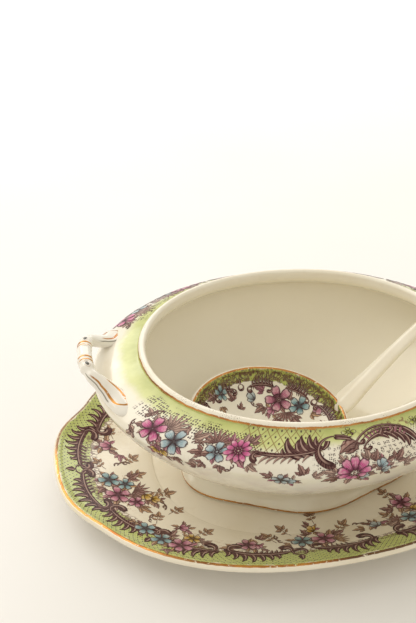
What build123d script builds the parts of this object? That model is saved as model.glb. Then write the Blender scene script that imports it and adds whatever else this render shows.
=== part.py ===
from build123d import *
import math
import os

# Oval soup tureen on its stand, with a china ladle lying in it. Sizes in millimetres.
# Origin: centre of the underside of the stand. +X runs along the ovals towards the right
# handle, +Y to the back, +Z up. All pieces are slip-cast earthenware with a clear glaze.

OUTLINE_POINTS = 48          # points on one closed oval

# stand
stand_half_x = 145.0         # plain oval of the edge, before its waves
stand_half_y = 108.0
stand_power = 2.19           # 2 is an ellipse, more is squarer
stand_height = 21.5
stand_edge = 5.0             # thickness of the rolled edge
stand_end_lobe = 0.034       # how far the two ends swell, as a share of the radius
stand_end_width = 26.0       # degrees
stand_dent = 0.016           # four shallow dents where the end lobes meet the sides
stand_dent_at = 22.0         # degrees from the long axis
stand_dent_width = 9.0
stand_turn = 4.5             # the tureen is set down this many degrees off line with it
stand_floor = 6.0            # top of the well
stand_wall = 3.0
foot_ring_x = 84.0           # ring under the stand
foot_ring_y = 64.0
foot_ring_width = 6.0

# tureen
body_power = 2.05
rim_half_x = 95.0            # outside of the upright lip
rim_half_y = 79.3
rim_top = 92.0
lip_width = 4.0
lip_height = 9.0
belly_half_x = 122.0         # widest part of the body
belly_half_y = 97.0
belly_height = 74.5
wall = 5.0
bowl_floor = 17.0            # inside of the bowl

# tureen foot
foot_half_x = 76.0
foot_half_y = 57.0
foot_lobes = 6
foot_lobe_depth = 0.035
foot_gap = 0.3               # foot to the well of the stand
foot_top = 27.0
foot_wall = 5.0

# handles at the two ends of the tureen
grip_x = 125.8               # centre line of the grip
grip_z = 92.3
grip_radius = 4.2
arm_radius = 3.5
leaf_half_width = 6.6        # where an arm spreads into its leaf
leaf_half_thick = 3.6
leaf_tip = (104.5, 41.5, 79.6)
shoulder_step = 3.3          # foot of the lip below the top of the rim

# ladle
ladle_half_x = 50.0
ladle_half_y = 43.0
ladle_depth = 21.0
ladle_wall = 3.0
ladle_rim_centre = (-19.0, -10.0, 42.0)
ladle_swing = 6.0            # degrees about Z
ladle_dip = 5.9              # handle end lower
ladle_roll = 11.3            # near side lower


def plain(angle):
    return 1.0


def bump(angle, centre, width, power):
    away = (math.degrees(angle) - centre + 180.0) % 360.0 - 180.0
    return math.exp(-abs(away / width) ** power)


def stand_wave(amount):
    """Radius factor of the stand's edge: two end lobes and four dents."""
    def factor(angle):
        lobes = sum(bump(angle, at, stand_end_width, 4) for at in (0.0, 180.0))
        corners = (stand_dent_at, 180.0 - stand_dent_at, 180.0 + stand_dent_at, 360.0 - stand_dent_at)
        dents = sum(bump(angle, at, stand_dent_width, 2) for at in corners)
        return 1.0 + amount * (stand_end_lobe * lobes - stand_dent * dents)
    return factor


def foot_wave(amount):
    """Radius factor of the tureen's foot: six lobes, one at the front and one at the back."""
    def factor(angle):
        return 1.0 - amount * foot_lobe_depth * math.cos(foot_lobes * angle)
    return factor


def signed_power(value, power):
    return math.copysign(abs(value) ** power, value)


def oval(half_x, half_y, z, power=2.0, wave=plain):
    """One level of a vessel: a closed oval face at height z."""
    points = []
    for i in range(OUTLINE_POINTS):
        angle = 2.0 * math.pi * i / OUTLINE_POINTS
        radius = wave(angle)
        x = half_x * signed_power(math.cos(angle), 2.0 / power) * radius
        y = half_y * signed_power(math.sin(angle), 2.0 / power) * radius
        points.append((x, y, z))
    return make_face(Spline(*points, periodic=True))


def stack(levels, power=2.0, wave=None):
    """A solid through levels of (half_x, half_y, z, share of the wave)."""
    faces = []
    for half_x, half_y, z, share in levels:
        shape = wave(share) if wave else plain
        faces.append(oval(half_x, half_y, z, power, shape))
    return loft(faces)


def make_stand():
    edge_x = stand_half_x
    edge_y = stand_half_y
    under = [
        (foot_ring_x + 4, foot_ring_y + 4, stand_floor - stand_wall, 0.0),
        (foot_ring_x + 18, foot_ring_y + 15, stand_floor - 0.5, 0.1),
        (edge_x - 22, edge_y - 18, 11.5, 0.6),
        (edge_x - 6, edge_y - 5, 16.0, 1.0),
        (edge_x, edge_y, stand_height - 3.0, 1.0),
    ]
    roll = [
        (edge_x, edge_y, stand_height - 3.0, 1.0),
        (edge_x - 0.4, edge_y - 0.4, stand_height - 1.2, 1.0),
        (edge_x - 2.0, edge_y - 2.0, stand_height, 1.0),
    ]
    hollow = [
        (foot_ring_x + 4, foot_ring_y + 6, stand_floor, 0.0),
        (foot_ring_x + 10, foot_ring_y + 11, stand_floor + 1.8, 0.1),
        (edge_x - 28, edge_y - 21, 12.8, 0.6),
        (edge_x - stand_edge - 3, edge_y - stand_edge - 3, 18.6, 1.0),
        (edge_x - stand_edge + 1.0, edge_y - stand_edge + 1.0, stand_height + 1.0, 1.0),
    ]
    ring = [
        (foot_ring_x, foot_ring_y, 0.0, 0.0),
        (foot_ring_x + 1.5, foot_ring_y + 1.5, stand_floor - 1.0, 0.0),
    ]
    ring_hole = [
        (foot_ring_x - foot_ring_width, foot_ring_y - foot_ring_width, -1.0, 0.0),
        (foot_ring_x - foot_ring_width - 1, foot_ring_y - foot_ring_width - 1, stand_floor - stand_wall, 0.0),
    ]
    dish = stack(under, stand_power, stand_wave)
    dish += stack(roll, stand_power, stand_wave)
    dish -= stack(hollow, stand_power, stand_wave)
    dish += stack(ring, body_power) - stack(ring_hole, body_power)
    return Rot(Z=stand_turn) * dish


def make_body_block():
    """The tureen's outside as one closed solid, up to the foot of the lip."""
    levels = [
        (57, 44, 12.0, 0.0),
        (66, 52, 18.5, 0.0),
        (77, 62, 28.0, 0.0),
        (90, 73.5, 38.0, 0.0),
        (104, 85, 50.0, 0.0),
        (115, 92.5, 62.0, 0.0),
        (belly_half_x, belly_half_y, belly_height, 0.0),
        (118.5, 95, 80.0, 0.0),
        (108, 88.5, 85.0, 0.0),
        (rim_half_x + 1, rim_half_y + 1, rim_top - shoulder_step, 0.0),
    ]
    return stack(levels, body_power)


def make_lip_block():
    levels = [
        (rim_half_x + 0.5, rim_half_y + 0.5, rim_top - shoulder_step - 1.0, 0.0),
        (rim_half_x + 0.3, rim_half_y + 0.3, rim_top - 2.0, 0.0),
        (rim_half_x - 0.4, rim_half_y - 0.4, rim_top - 0.6, 0.0),
        (rim_half_x - 1.4, rim_half_y - 1.4, rim_top, 0.0),
    ]
    return stack(levels, body_power)


def make_bowl_hollow():
    """The space inside the tureen, wider under the lip than at the mouth."""
    mouth_x = rim_half_x - lip_width
    mouth_y = rim_half_y - lip_width
    inside = [
        (46, 36, bowl_floor, 0.0),
        (60, 48, 22.0, 0.0),
        (76, 61, 32.0, 0.0),
        (94, 76.5, 46.0, 0.0),
        (108.5, 86.5, 61.0, 0.0),
        (belly_half_x - wall, belly_half_y - wall, 72.0, 0.0),
        (110, 88, 77.5, 0.0),
        (mouth_x + 3.5, mouth_y + 3.5, rim_top - lip_height - 1.5, 0.0),
    ]
    mouth = [
        (mouth_x + 3.5, mouth_y + 3.5, rim_top - lip_height - 1.5, 0.0),
        (mouth_x + 0.4, mouth_y + 0.4, rim_top - lip_height + 2.5, 0.0),
        (mouth_x, mouth_y, rim_top - 2.0, 0.0),
        (mouth_x + 1.6, mouth_y + 1.6, rim_top + 0.4, 0.0),
    ]
    return stack(inside, body_power) + stack(mouth, body_power)


def make_foot(body_block):
    """Flared, lobed ring luted under the body."""
    bottom = stand_floor + foot_gap
    outside = [
        (foot_half_x - 0.8, foot_half_y - 0.8, bottom, 1.0),
        (foot_half_x, foot_half_y, bottom + 2.0, 1.0),
        (foot_half_x - 3, foot_half_y - 2.5, bottom + 6.0, 0.8),
        (foot_half_x - 6, foot_half_y - 4, bottom + 12.0, 0.4),
        (foot_half_x - 3, foot_half_y - 2, foot_top, 0.1),
    ]
    inside = [
        (foot_half_x - foot_wall, foot_half_y - foot_wall, bottom - 1.0, 1.0),
        (foot_half_x - foot_wall - 5, foot_half_y - foot_wall - 4, bottom + 7.0, 0.7),
        (foot_half_x - foot_wall - 10, foot_half_y - foot_wall - 8, foot_top + 1.0, 0.1),
    ]
    ring = stack(outside, 2.0, foot_wave) - stack(inside, 2.0, foot_wave)
    return ring - body_block


def tube(stations):
    """A closed bar of oval section through stations of (centre, half width, half thickness)."""
    faces = []
    last = len(stations) - 1
    for i, (centre, half_width, half_thick) in enumerate(stations):
        before = Vector(*stations[max(i - 1, 0)][0])
        after = Vector(*stations[min(i + 1, last)][0])
        run = (after - before).normalized()
        across = Vector(0, 0, 1).cross(run).normalized()
        faces.append(Plane(origin=centre, x_dir=across, z_dir=run) * Ellipse(half_width, half_thick))
    return loft(faces)


def make_handle(body_block):
    """Right-hand D-shaped handle: a grip, two arms and two leaf terminals on the shoulder."""
    tip_x, tip_y, tip_z = leaf_tip
    half = [
        ((tip_x, tip_y, tip_z), 2.4, 1.3),
        ((107.8, 34.5, 80.8), 6.0, 3.1),
        ((111.8, 27.0, 82.6), leaf_half_width, leaf_half_thick),
        ((117.2, 21.6, 86.6), 5.2, 3.6),
        ((122.6, 17.2, 90.6), arm_radius + 0.4, arm_radius),
        ((grip_x - 0.5, 9.5, grip_z), 3.8, 3.7),
    ]
    middle = [((grip_x, 0.0, grip_z), grip_radius, grip_radius * 0.98)]
    other_half = [((x, -y, z), wide, thick) for (x, y, z), wide, thick in reversed(half)]
    return tube(half + middle + other_half) - body_block


def place_ladle(shape):
    x, y, z = ladle_rim_centre
    return Pos(x, y, z) * Rot(Z=ladle_swing) * Rot(Y=ladle_dip) * Rot(X=ladle_roll) * shape


def ladle_levels(half_x, half_y, depth, top):
    """Levels of a rounded dish, from its flattened bottom to its rim."""
    levels = []
    for share in (1.0, 0.97, 0.86, 0.66, 0.36, 0.0):
        reach = math.sqrt(1.0 - (share * 0.95) ** 2)
        levels.append((half_x * reach, half_y * reach, -depth * share, 0.0))
    if top > 0:
        levels.append((half_x * 1.01, half_y * 1.01, top, 0.0))
    return levels


def make_ladle_block():
    return place_ladle(stack(ladle_levels(ladle_half_x, ladle_half_y, ladle_depth, 0.0)))


def make_ladle_hollow():
    inner_x = ladle_half_x - ladle_wall
    inner_y = ladle_half_y - ladle_wall
    return place_ladle(stack(ladle_levels(inner_x, inner_y, ladle_depth - ladle_wall, 2.0)))


def make_ladle_handle(ladle_block):
    """Tapering handle from the bowl's end, over the rim and down to a rounded tip."""
    # centre point, half width across, half thickness
    sections = [
        ((26.0, 1.0, 33.0), 9.0, 3.0),
        ((36.0, 3.2, 42.0), 8.6, 3.2),
        ((48.0, 5.0, 54.5), 6.6, 3.2),
        ((68.0, 8.0, 75.5), 4.9, 3.0),
        ((91.0, 11.3, 97.0), 4.6, 3.0),
        ((108.0, 13.7, 109.5), 5.4, 3.0),
        ((124.0, 16.0, 117.5), 7.0, 2.8),
        ((137.0, 17.8, 120.5), 7.4, 2.6),
        ((146.0, 19.1, 120.5), 4.0, 2.0),
    ]
    faces = []
    last = len(sections) - 1
    for i, (centre, half_width, half_thick) in enumerate(sections):
        before = Vector(*sections[max(i - 1, 0)][0])
        after = Vector(*sections[min(i + 1, last)][0])
        run = (after - before).normalized()
        across = Vector(0, 0, 1).cross(run).normalized()
        plane = Plane(origin=centre, x_dir=across, z_dir=run)
        faces.append(plane * Ellipse(half_width, half_thick))
    return loft(faces) - ladle_block


def main():
    body_block = make_body_block()
    tureen_block = body_block + make_lip_block()
    ladle_block = make_ladle_block()
    right_handle = make_handle(body_block)
    nodes = {
        "stand": make_stand(),
        "tureen_bowl": tureen_block - make_bowl_hollow(),
        "tureen_foot": make_foot(body_block),
        "left_handle": mirror(right_handle, about=Plane.YZ),
        "right_handle": right_handle,
        "ladle_bowl": ladle_block - make_ladle_hollow(),
        "ladle_handle": make_ladle_handle(ladle_block),
    }
    os.makedirs("parts", exist_ok=True)
    for name, shape in nodes.items():
        export_step(shape, f"parts/{name}.step")
        box = shape.bounding_box()
        print(name, len(shape.solids()), round(shape.volume / 1000, 1), box.min, box.max)


main()
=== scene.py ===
import math

import bpy
import numpy as np
from mathutils import Matrix, Vector


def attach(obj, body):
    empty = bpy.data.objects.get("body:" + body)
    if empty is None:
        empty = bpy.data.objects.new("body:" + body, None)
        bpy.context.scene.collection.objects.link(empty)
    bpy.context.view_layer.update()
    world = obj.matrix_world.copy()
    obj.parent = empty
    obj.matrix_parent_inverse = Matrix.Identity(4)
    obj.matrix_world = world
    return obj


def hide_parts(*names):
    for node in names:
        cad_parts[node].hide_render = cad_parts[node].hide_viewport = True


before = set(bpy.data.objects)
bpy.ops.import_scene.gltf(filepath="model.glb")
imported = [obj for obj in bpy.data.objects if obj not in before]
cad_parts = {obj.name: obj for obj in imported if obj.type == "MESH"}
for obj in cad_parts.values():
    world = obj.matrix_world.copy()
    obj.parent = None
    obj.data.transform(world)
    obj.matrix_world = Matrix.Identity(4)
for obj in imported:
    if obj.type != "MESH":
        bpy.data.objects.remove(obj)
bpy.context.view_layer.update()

MM = 0.001

# ---------------------------------------------------------------- glaze and enamel nodes


class Amount:
    """A number that varies over a surface. Arithmetic on it adds Math nodes."""

    def __init__(self, recipe, socket):
        self.recipe = recipe
        self.socket = socket

    def _math(self, operation, *values):
        node = self.recipe.node("ShaderNodeMath", {"operation": operation}, dict(enumerate(values)))
        return Amount(self.recipe, node.outputs[0])

    def __add__(self, other):
        return self._math("ADD", self, other)

    def __radd__(self, other):
        return self._math("ADD", other, self)

    def __sub__(self, other):
        return self._math("SUBTRACT", self, other)

    def __rsub__(self, other):
        return self._math("SUBTRACT", other, self)

    def __mul__(self, other):
        return self._math("MULTIPLY", self, other)

    def __truediv__(self, other):
        return self._math("DIVIDE", self, other)

    def __pow__(self, other):
        return self._math("POWER", self, other)

    def __abs__(self):
        return self._math("ABSOLUTE", self)

    def least(self, other):
        return self._math("MINIMUM", self, other)

    def most(self, other):
        return self._math("MAXIMUM", self, other)

    def part(self):
        return self._math("FRACT", self)

    def rise(self, low, high):
        """0 below low, 1 above high, smooth between; a high under low turns it round."""
        settings = {"interpolation_type": "SMOOTHSTEP"}
        inputs = {"Value": self}
        if low < high:
            inputs.update({"From Min": low, "From Max": high})
        else:
            inputs.update({"From Min": high, "From Max": low, "To Min": 1.0, "To Max": 0.0})
        return Amount(self.recipe, self.recipe.node("ShaderNodeMapRange", settings, inputs).outputs[0])

    def near(self, centre, half, soft):
        """1 within half of centre, falling to 0 over soft."""
        return abs(self - centre).rise(half + soft, half)


class Nodes:
    """A node tree that is made in code."""

    def __init__(self, tree):
        self.tree = tree

    def node(self, kind, settings=None, inputs=None):
        """A new node, with each input linked to a socket or set to a value."""
        node = self.tree.nodes.new(kind)
        for key, value in (settings or {}).items():
            setattr(node, key, value)
        for key, value in (inputs or {}).items():
            value = getattr(value, "socket", value)
            if isinstance(value, bpy.types.NodeSocket):
                self.tree.links.new(value, node.inputs[key])
            else:
                node.inputs[key].default_value = value
        return node

    def joined(self, *values):
        """A vector from its numbers."""
        return self.node("ShaderNodeCombineXYZ", None, dict(enumerate(values))).outputs[0]


class Recipe(Nodes):
    """One material, made of procedural nodes."""

    def __init__(self, name):
        self.material = bpy.data.materials.new(name)
        self.material.use_nodes = True
        super().__init__(self.material.node_tree)
        self.tree.nodes.clear()

    def number(self, socket):
        return Amount(self, socket)

    def mix(self, factor, under, over):
        """Colour over laid on colour under by factor."""
        under = (*under, 1.0) if isinstance(under, tuple) else under
        over = (*over, 1.0) if isinstance(over, tuple) else over
        inputs = {0: factor, 6: under, 7: over}
        return self.node("ShaderNodeMix", {"data_type": "RGBA"}, inputs).outputs[2]

    def uv(self, name):
        """The two coordinates of a UV map, in millimetres."""
        uv_map = self.node("ShaderNodeUVMap", {"uv_map": name})
        split = self.node("ShaderNodeSeparateXYZ", None, {0: uv_map.outputs[0]})
        return self.number(split.outputs[0]) * 1000.0, self.number(split.outputs[1]) * 1000.0

    def attribute(self, name, vector=False):
        node = self.node("ShaderNodeAttribute", {"attribute_name": name})
        return node.outputs["Color"] if vector else self.number(node.outputs["Fac"])

    def place(self):
        return self.node("ShaderNodeTexCoord").outputs["Object"]

    def noise(self, vector, scale, detail=2.0, roughness=0.5):
        inputs = {"Vector": vector, "Scale": scale, "Detail": detail, "Roughness": roughness}
        return self.number(self.node("ShaderNodeTexNoise", None, inputs).outputs[0])

    def cells(self, vector, scale, feature="F1", jitter=1.0, flat=False):
        settings = {"feature": feature, "voronoi_dimensions": "2D" if flat else "3D"}
        inputs = {"Vector": vector, "Scale": scale, "Randomness": jitter}
        return self.number(self.node("ShaderNodeTexVoronoi", settings, inputs).outputs["Distance"])

    def bump(self, height, distance, strength):
        inputs = {"Height": height, "Distance": distance, "Strength": strength}
        return self.node("ShaderNodeBump", None, inputs).outputs[0]

    def finish(self, **sockets):
        """The shader, with its sockets named in words joined by underscores."""
        inputs = {key.replace("_", " "): value for key, value in sockets.items()}
        inputs["IOR"] = GLAZE_IOR
        shader = self.node("ShaderNodeBsdfPrincipled", None, inputs)
        self.node("ShaderNodeOutputMaterial", None, {"Surface": shader.outputs[0]})
        return self.material


# the clear glaze and the gold leaf; the ripple is a height in metres
GLAZE_IOR = 1.5
GLAZE_ROUGHNESS = 0.11
GLAZE_COAT = 0.25
GLAZE_COAT_ROUGHNESS = 0.03
GLAZE_RIPPLE = 0.00025
GLAZE_RIPPLE_STRENGTH = 0.5
GILT_ROUGHNESS = 0.26

# colours of the glazed clay: its pale and deep patches, stains and specks
IVORY = (0.86, 0.815, 0.705), (0.80, 0.735, 0.60)
FOOT_IVORY = (0.84, 0.785, 0.64), (0.70, 0.62, 0.46)
STAND_IVORY = (0.85, 0.79, 0.66), (0.79, 0.715, 0.56)
HANDLE_IVORY = (0.86, 0.83, 0.77), (0.80, 0.76, 0.68)
# the inside's cream, laid paler than the outside partly as painted light
INSIDE_CREAM_AND_LIGHT = (0.93, 0.875, 0.72)
STAIN = (0.56, 0.44, 0.28)
DARK_SPECK = (0.20, 0.12, 0.06)
RED_SPECK = (0.55, 0.09, 0.05)

# colours of the gold leaf: new, tarnished, and dark brown where rubbed away and where painted shade
# falls on it
GILT = (0.62, 0.30, 0.08)
GILT_TARNISHED = (0.42, 0.17, 0.05)
GILT_RUBBED_AND_SHADED = (0.085, 0.045, 0.025)

# colours of the printed grounds
PALE_GREEN = (0.58, 0.62, 0.20)
LEAF_GREEN = (0.36, 0.42, 0.06)
BORDER_GREENS = (0.49, 0.56, 0.16), (0.38, 0.46, 0.08)
RING_GREEN = (0.64, 0.67, 0.30)
MOTTLE_GREENS = (0.42, 0.48, 0.06), (0.10, 0.10, 0.02)
NET_BROWN = (0.22, 0.11, 0.03)
CROSS_BROWN = (0.16, 0.12, 0.03)
NET_DOT = (0.040, 0.035, 0.010)
BLOTCH_BROWN = (0.20, 0.075, 0.045)
LACE_BROWN = (0.12, 0.045, 0.035)
CURL_BROWN = (0.12, 0.045, 0.03)
# painted shade on the handles: the dark inner edge of each leaf end
HANDLE_EDGE_SHADE = (0.10, 0.085, 0.045)
# painted shade on the handles: the hollow eye of each volute and its softer rim
VOLUTE_EYE_SHADE = (0.028, 0.024, 0.014)
VOLUTE_EYE_SHADE_RIM = (0.36, 0.20, 0.10)


class Ground:
    """Ivory earthenware under clear glaze: body colour, faint stains, crazing and ripple."""

    def __init__(self, recipe, colours=IVORY):
        self.recipe = recipe
        where = recipe.place()
        pale, deep = colours
        cloud = recipe.noise(where, 14.0, 3.0, 0.6)
        fine = recipe.noise(where, 160.0, 2.0, 0.6)
        specks = recipe.cells(where, 95.0).rise(0.035, 0.02)
        speck_rare = recipe.noise(where, 60.0, 1.0).rise(0.62, 0.66)
        craze = recipe.cells(where, 120.0, "DISTANCE_TO_EDGE").rise(0.022, 0.0)
        craze_patch = recipe.noise(where, 22.0, 2.0).rise(0.50, 0.68)
        self.colour = recipe.mix(cloud.rise(0.35, 0.7), pale, deep)
        self.colour = recipe.mix(fine.rise(0.55, 0.75) * 0.10, self.colour, STAIN)
        self.colour = recipe.mix(craze * craze_patch * 0.16, self.colour, STAIN)
        self.colour = recipe.mix(specks * speck_rare * 0.7, self.colour, DARK_SPECK)
        self.ripple = recipe.noise(where, 55.0, 2.0) + craze * craze_patch * -0.15
        self.roughness = GLAZE_ROUGHNESS + fine * 0.06 + craze * craze_patch * 0.08

    def lay(self, mask, colour):
        self.colour = self.recipe.mix(mask, self.colour, colour)

    def finish(self, gilt=None, wear=0.85):
        """The glaze, with gold leaf where gilt is 1, darkened in large patches by wear: rubbed gilt and
        painted shade.
        """
        recipe = self.recipe
        normal = recipe.bump(self.ripple, GLAZE_RIPPLE, GLAZE_RIPPLE_STRENGTH)
        if gilt is None:
            return recipe.finish(Base_Color=self.colour, Roughness=self.roughness,
                                 Coat_Weight=GLAZE_COAT, Coat_Roughness=GLAZE_COAT_ROUGHNESS,
                                 Normal=normal)
        where = recipe.place()
        worn = recipe.noise(where, 420.0, 3.0, 0.65)
        solid = gilt * worn.rise(0.30, 0.42)
        tarnish = recipe.noise(where, 90.0, 2.0)
        leaf = recipe.mix(tarnish.rise(0.35, 0.7), GILT, GILT_TARNISHED)
        # painted shade and wear: large patches where the gilt turns dark brown and less metallic, partly
        # rubbing and partly painted shade on the gilt
        rubbed_and_shaded = recipe.noise(where, 9.0, 1.0).rise(0.46, 0.56)
        leaf = recipe.mix(rubbed_and_shaded * wear, leaf, GILT_RUBBED_AND_SHADED)
        colour = recipe.mix(solid, self.colour, leaf)
        rough = self.roughness * (1.0 - solid) + solid * GILT_ROUGHNESS
        return recipe.finish(Base_Color=colour, Roughness=rough,
                             Metallic=solid * (0.9 - rubbed_and_shaded * wear * 0.7),
                             Coat_Weight=GLAZE_COAT - solid * 0.2,
                             Coat_Roughness=GLAZE_COAT_ROUGHNESS, Normal=normal)


# ---------------------------------------------------------------- shapes of the ware

# places on the Print map in mm: the zero row of a ware printed outside, the middle of a ware
# seen from above, and how far aside the faces that look down are moved
PRINT_ZERO = 300.0
PLAN_ZERO = 200.0
PLAN_ASIDE = 500.0
# how square each oval is: 2 is a plain oval
OVAL_POWER = 2.0
BODY_POWER = 2.05
STAND_POWER = 2.19
STAND_HALF = (145.0, 108.0)
STAND_TURN = math.radians(4.5)
# points round a ware
AROUND = 288
# the v length in metres of the last step of a closed profile
CLOSING_STEP = 0.005
# waves of the stand's edge: share of the radius, where in degrees, width, sharpness
STAND_WAVES = ((0.034, (0.0, 180.0), 26.0, 4), (-0.024, (27.0, 153.0), 8.0, 2),
               (-0.010, (205.0, 335.0), 9.0, 2))
FOOT_LOBES = 6.0
FOOT_LOBE_SHARE = 0.035


def linked(name, data):
    """A new object in the scene."""
    obj = bpy.data.objects.new(name, data)
    bpy.context.collection.objects.link(obj)
    return obj


def bump_at(angle, centre, width, power):
    away = (np.degrees(angle) - centre + 180.0) % 360.0 - 180.0
    return np.exp(-np.abs(away / width) ** power)


def stand_wave(angle):
    """Two end lobes and four shallow dents round the stand's edge."""
    return sum(amount * bump_at(angle, centre, width, power)
               for amount, centres, width, power in STAND_WAVES for centre in centres)


def foot_wave(angle):
    return -FOOT_LOBE_SHARE * np.cos(FOOT_LOBES * angle)


def plain_wave(angle):
    return np.zeros_like(angle)


def smooth_run(stations, steps):
    """Points on a smooth curve through stations, the last one left off."""
    given = np.array(stations, float)
    ends = np.vstack([2 * given[0] - given[1], given, 2 * given[-1] - given[-2]])
    share = np.linspace(0.0, 1.0, steps, endpoint=False)[:, None]
    rows = []
    for a, b, c, d in zip(ends[:-3], ends[1:-2], ends[2:-1], ends[3:]):
        rows.append(0.5 * (2 * b + (c - a) * share + (2 * a - 5 * b + 4 * c - d) * share ** 2
                           + (3 * b - a - 3 * c + d) * share ** 3))
    return np.vstack(rows)


def rows_in(*runs):
    """How many rows the (steps, stations) runs make before the last station."""
    return sum(steps * (len(stations) - 1) for steps, stations in runs)


def profile(*runs):
    """Rows of (half x, half y, z, share of the wave) from (steps, stations) runs, in mm."""
    rows = [smooth_run(stations, steps) for steps, stations in runs]
    rows.append(np.array([runs[-1][1][-1]], float))
    return np.vstack(rows)


class Ware:
    """A vessel made of closed oval rows, as a mesh with an Edge and a Print UV map in metres.

    Edge runs round the vessel and down the profile from the row called zero. Print is where
    the motifs are laid out: the unrolled side for a vessel printed outside, or else the
    vessel seen from above, where faces that look down are moved aside so that none overlap."""

    def __init__(self, name, rows, power, wave, zero, closed=False, turn=0.0, print_side=False):
        self.name = name
        self.print_side = print_side
        angle = np.linspace(0.0, 2 * math.pi, AROUND, endpoint=False)
        cosine, sine = np.cos(angle), np.sin(angle)
        x = np.sign(cosine) * np.abs(cosine) ** (2.0 / power)
        y = np.sign(sine) * np.abs(sine) ** (2.0 / power)
        swell = 1.0 + rows[:, 3:4] * wave(angle)[None, :]
        points = np.stack([rows[:, 0:1] * x * swell, rows[:, 1:2] * y * swell,
                           np.repeat(rows[:, 2:3], AROUND, 1)], 2) * MM
        outline = points[rows[:, 0].argmax()][:, :2]
        steps = np.linalg.norm(np.roll(outline, -1, 0) - outline, axis=1)
        self.girth = np.concatenate([[0.0], np.cumsum(steps)])
        drop = np.diff(rows[:, :3], axis=0)
        drop = 0.5 * (np.hypot(drop[:, 0], drop[:, 2]) + np.hypot(drop[:, 1], drop[:, 2])) * MM
        self.depth = np.concatenate([[0.0], np.cumsum(drop)])
        self.depth = self.depth[zero] - self.depth
        self.reach = rows[:, 0] / rows[:, 0].max()
        self.rows = rows
        self.object = self._mesh(points, closed, turn)

    def _mesh(self, points, closed, turn):
        count = len(points)
        plan = points[:, :, :2].reshape(-1, 2) + PLAN_ZERO * MM
        flat = points.reshape(-1, 3)
        if turn:
            spin = np.array([[math.cos(turn), -math.sin(turn)], [math.sin(turn), math.cos(turn)]])
            flat = flat.copy()
            flat[:, :2] = flat[:, :2] @ spin.T
        verts = [tuple(p) for p in flat]
        faces, edge_uv = [], []
        last = count if closed else count - 1
        for row in range(last):
            below, above = row * AROUND, (row + 1) % count * AROUND
            v0 = self.depth[row]
            v1 = self.depth[row + 1] if row + 1 < count else v0 - CLOSING_STEP
            for i in range(AROUND):
                j = (i + 1) % AROUND
                u0, u1 = self.girth[i], self.girth[i + 1]
                faces.append((below + i, below + j, above + j, above + i))
                edge_uv += [(u0, v0), (u1, v0), (u1, v1), (u0, v1)]
        if not closed:
            for row, top in ((0, False), (count - 1, True)):
                centre = len(verts)
                middle = flat[row * AROUND:(row + 1) * AROUND].mean(0)
                verts.append(tuple(middle))
                plan = np.vstack([plan, [[PLAN_ZERO * MM, PLAN_ZERO * MM]]])
                v0 = self.depth[row]
                away = -self.rows[row, 0] * MM if top else self.rows[row, 0] * MM
                for i in range(AROUND):
                    j = (i + 1) % AROUND
                    a, b = row * AROUND + i, row * AROUND + j
                    u0, u1 = self.girth[i], self.girth[i + 1]
                    faces.append((a, b, centre) if top else (b, a, centre))
                    corner = [(u0, v0), (u1, v0), (u0, v0 + away)]
                    edge_uv += corner if top else [corner[1], corner[0], corner[2]]
        mesh = bpy.data.meshes.new(self.name)
        mesh.from_pydata(verts, [], faces)
        mesh.polygons.foreach_set("use_smooth", [True] * len(faces))
        edge_layer = mesh.uv_layers.new(name="Edge")
        edge_layer.data.foreach_set("uv", np.array(edge_uv, "f").ravel())
        corner_point = np.zeros(len(mesh.loops), "i")
        mesh.loops.foreach_get("vertex_index", corner_point)
        plan_uv = plan[corner_point]
        normals = np.zeros(len(faces) * 3, "f")
        mesh.polygons.foreach_get("normal", normals)
        sizes = np.zeros(len(faces), "i")
        mesh.polygons.foreach_get("loop_total", sizes)
        down = np.repeat(normals[2::3] <= 0.0, sizes)
        plan_uv[down, 0] += PLAN_ASIDE * MM
        if self.print_side:
            plan_uv = np.array(edge_uv) * (1.0, -1.0) + (0.0, PRINT_ZERO * MM)
        print_layer = mesh.uv_layers.new(name="Print")
        print_layer.data.foreach_set("uv", plan_uv.astype("f").ravel())
        self._outward(mesh)
        return linked(self.name, mesh)

    @staticmethod
    def _outward(mesh):
        """Keeps the smooth normals as an attribute, for pieces that are laid on the ware."""
        normals = np.zeros(len(mesh.vertices) * 3, "f")
        mesh.vertices.foreach_get("normal", normals)
        layer = mesh.attributes.new("outward", "FLOAT_VECTOR", "POINT")
        layer.data.foreach_set("vector", normals)

    def stretch_at(self, y):
        """How much wider a motif must be drawn at height y of the Print map to keep its shape."""
        if not self.print_side:
            return 1.0
        depth = PRINT_ZERO * MM - y
        return 1.0 / float(np.interp(-depth, -self.depth, self.reach))

    def moved(self, matrix):
        self.object.data.transform(matrix)
        self.object.data.attributes.remove(self.object.data.attributes["outward"])
        self.object.data.update()
        self._outward(self.object.data)


def dress(obj, material, body, slot, *nodes):
    """Gives a piece its material, the body it rides and the nodes it stands for; slot is not used."""
    obj.data.materials.clear()
    obj.data.materials.append(material)
    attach(obj, body)
    if nodes:
        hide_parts(*nodes)


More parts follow.
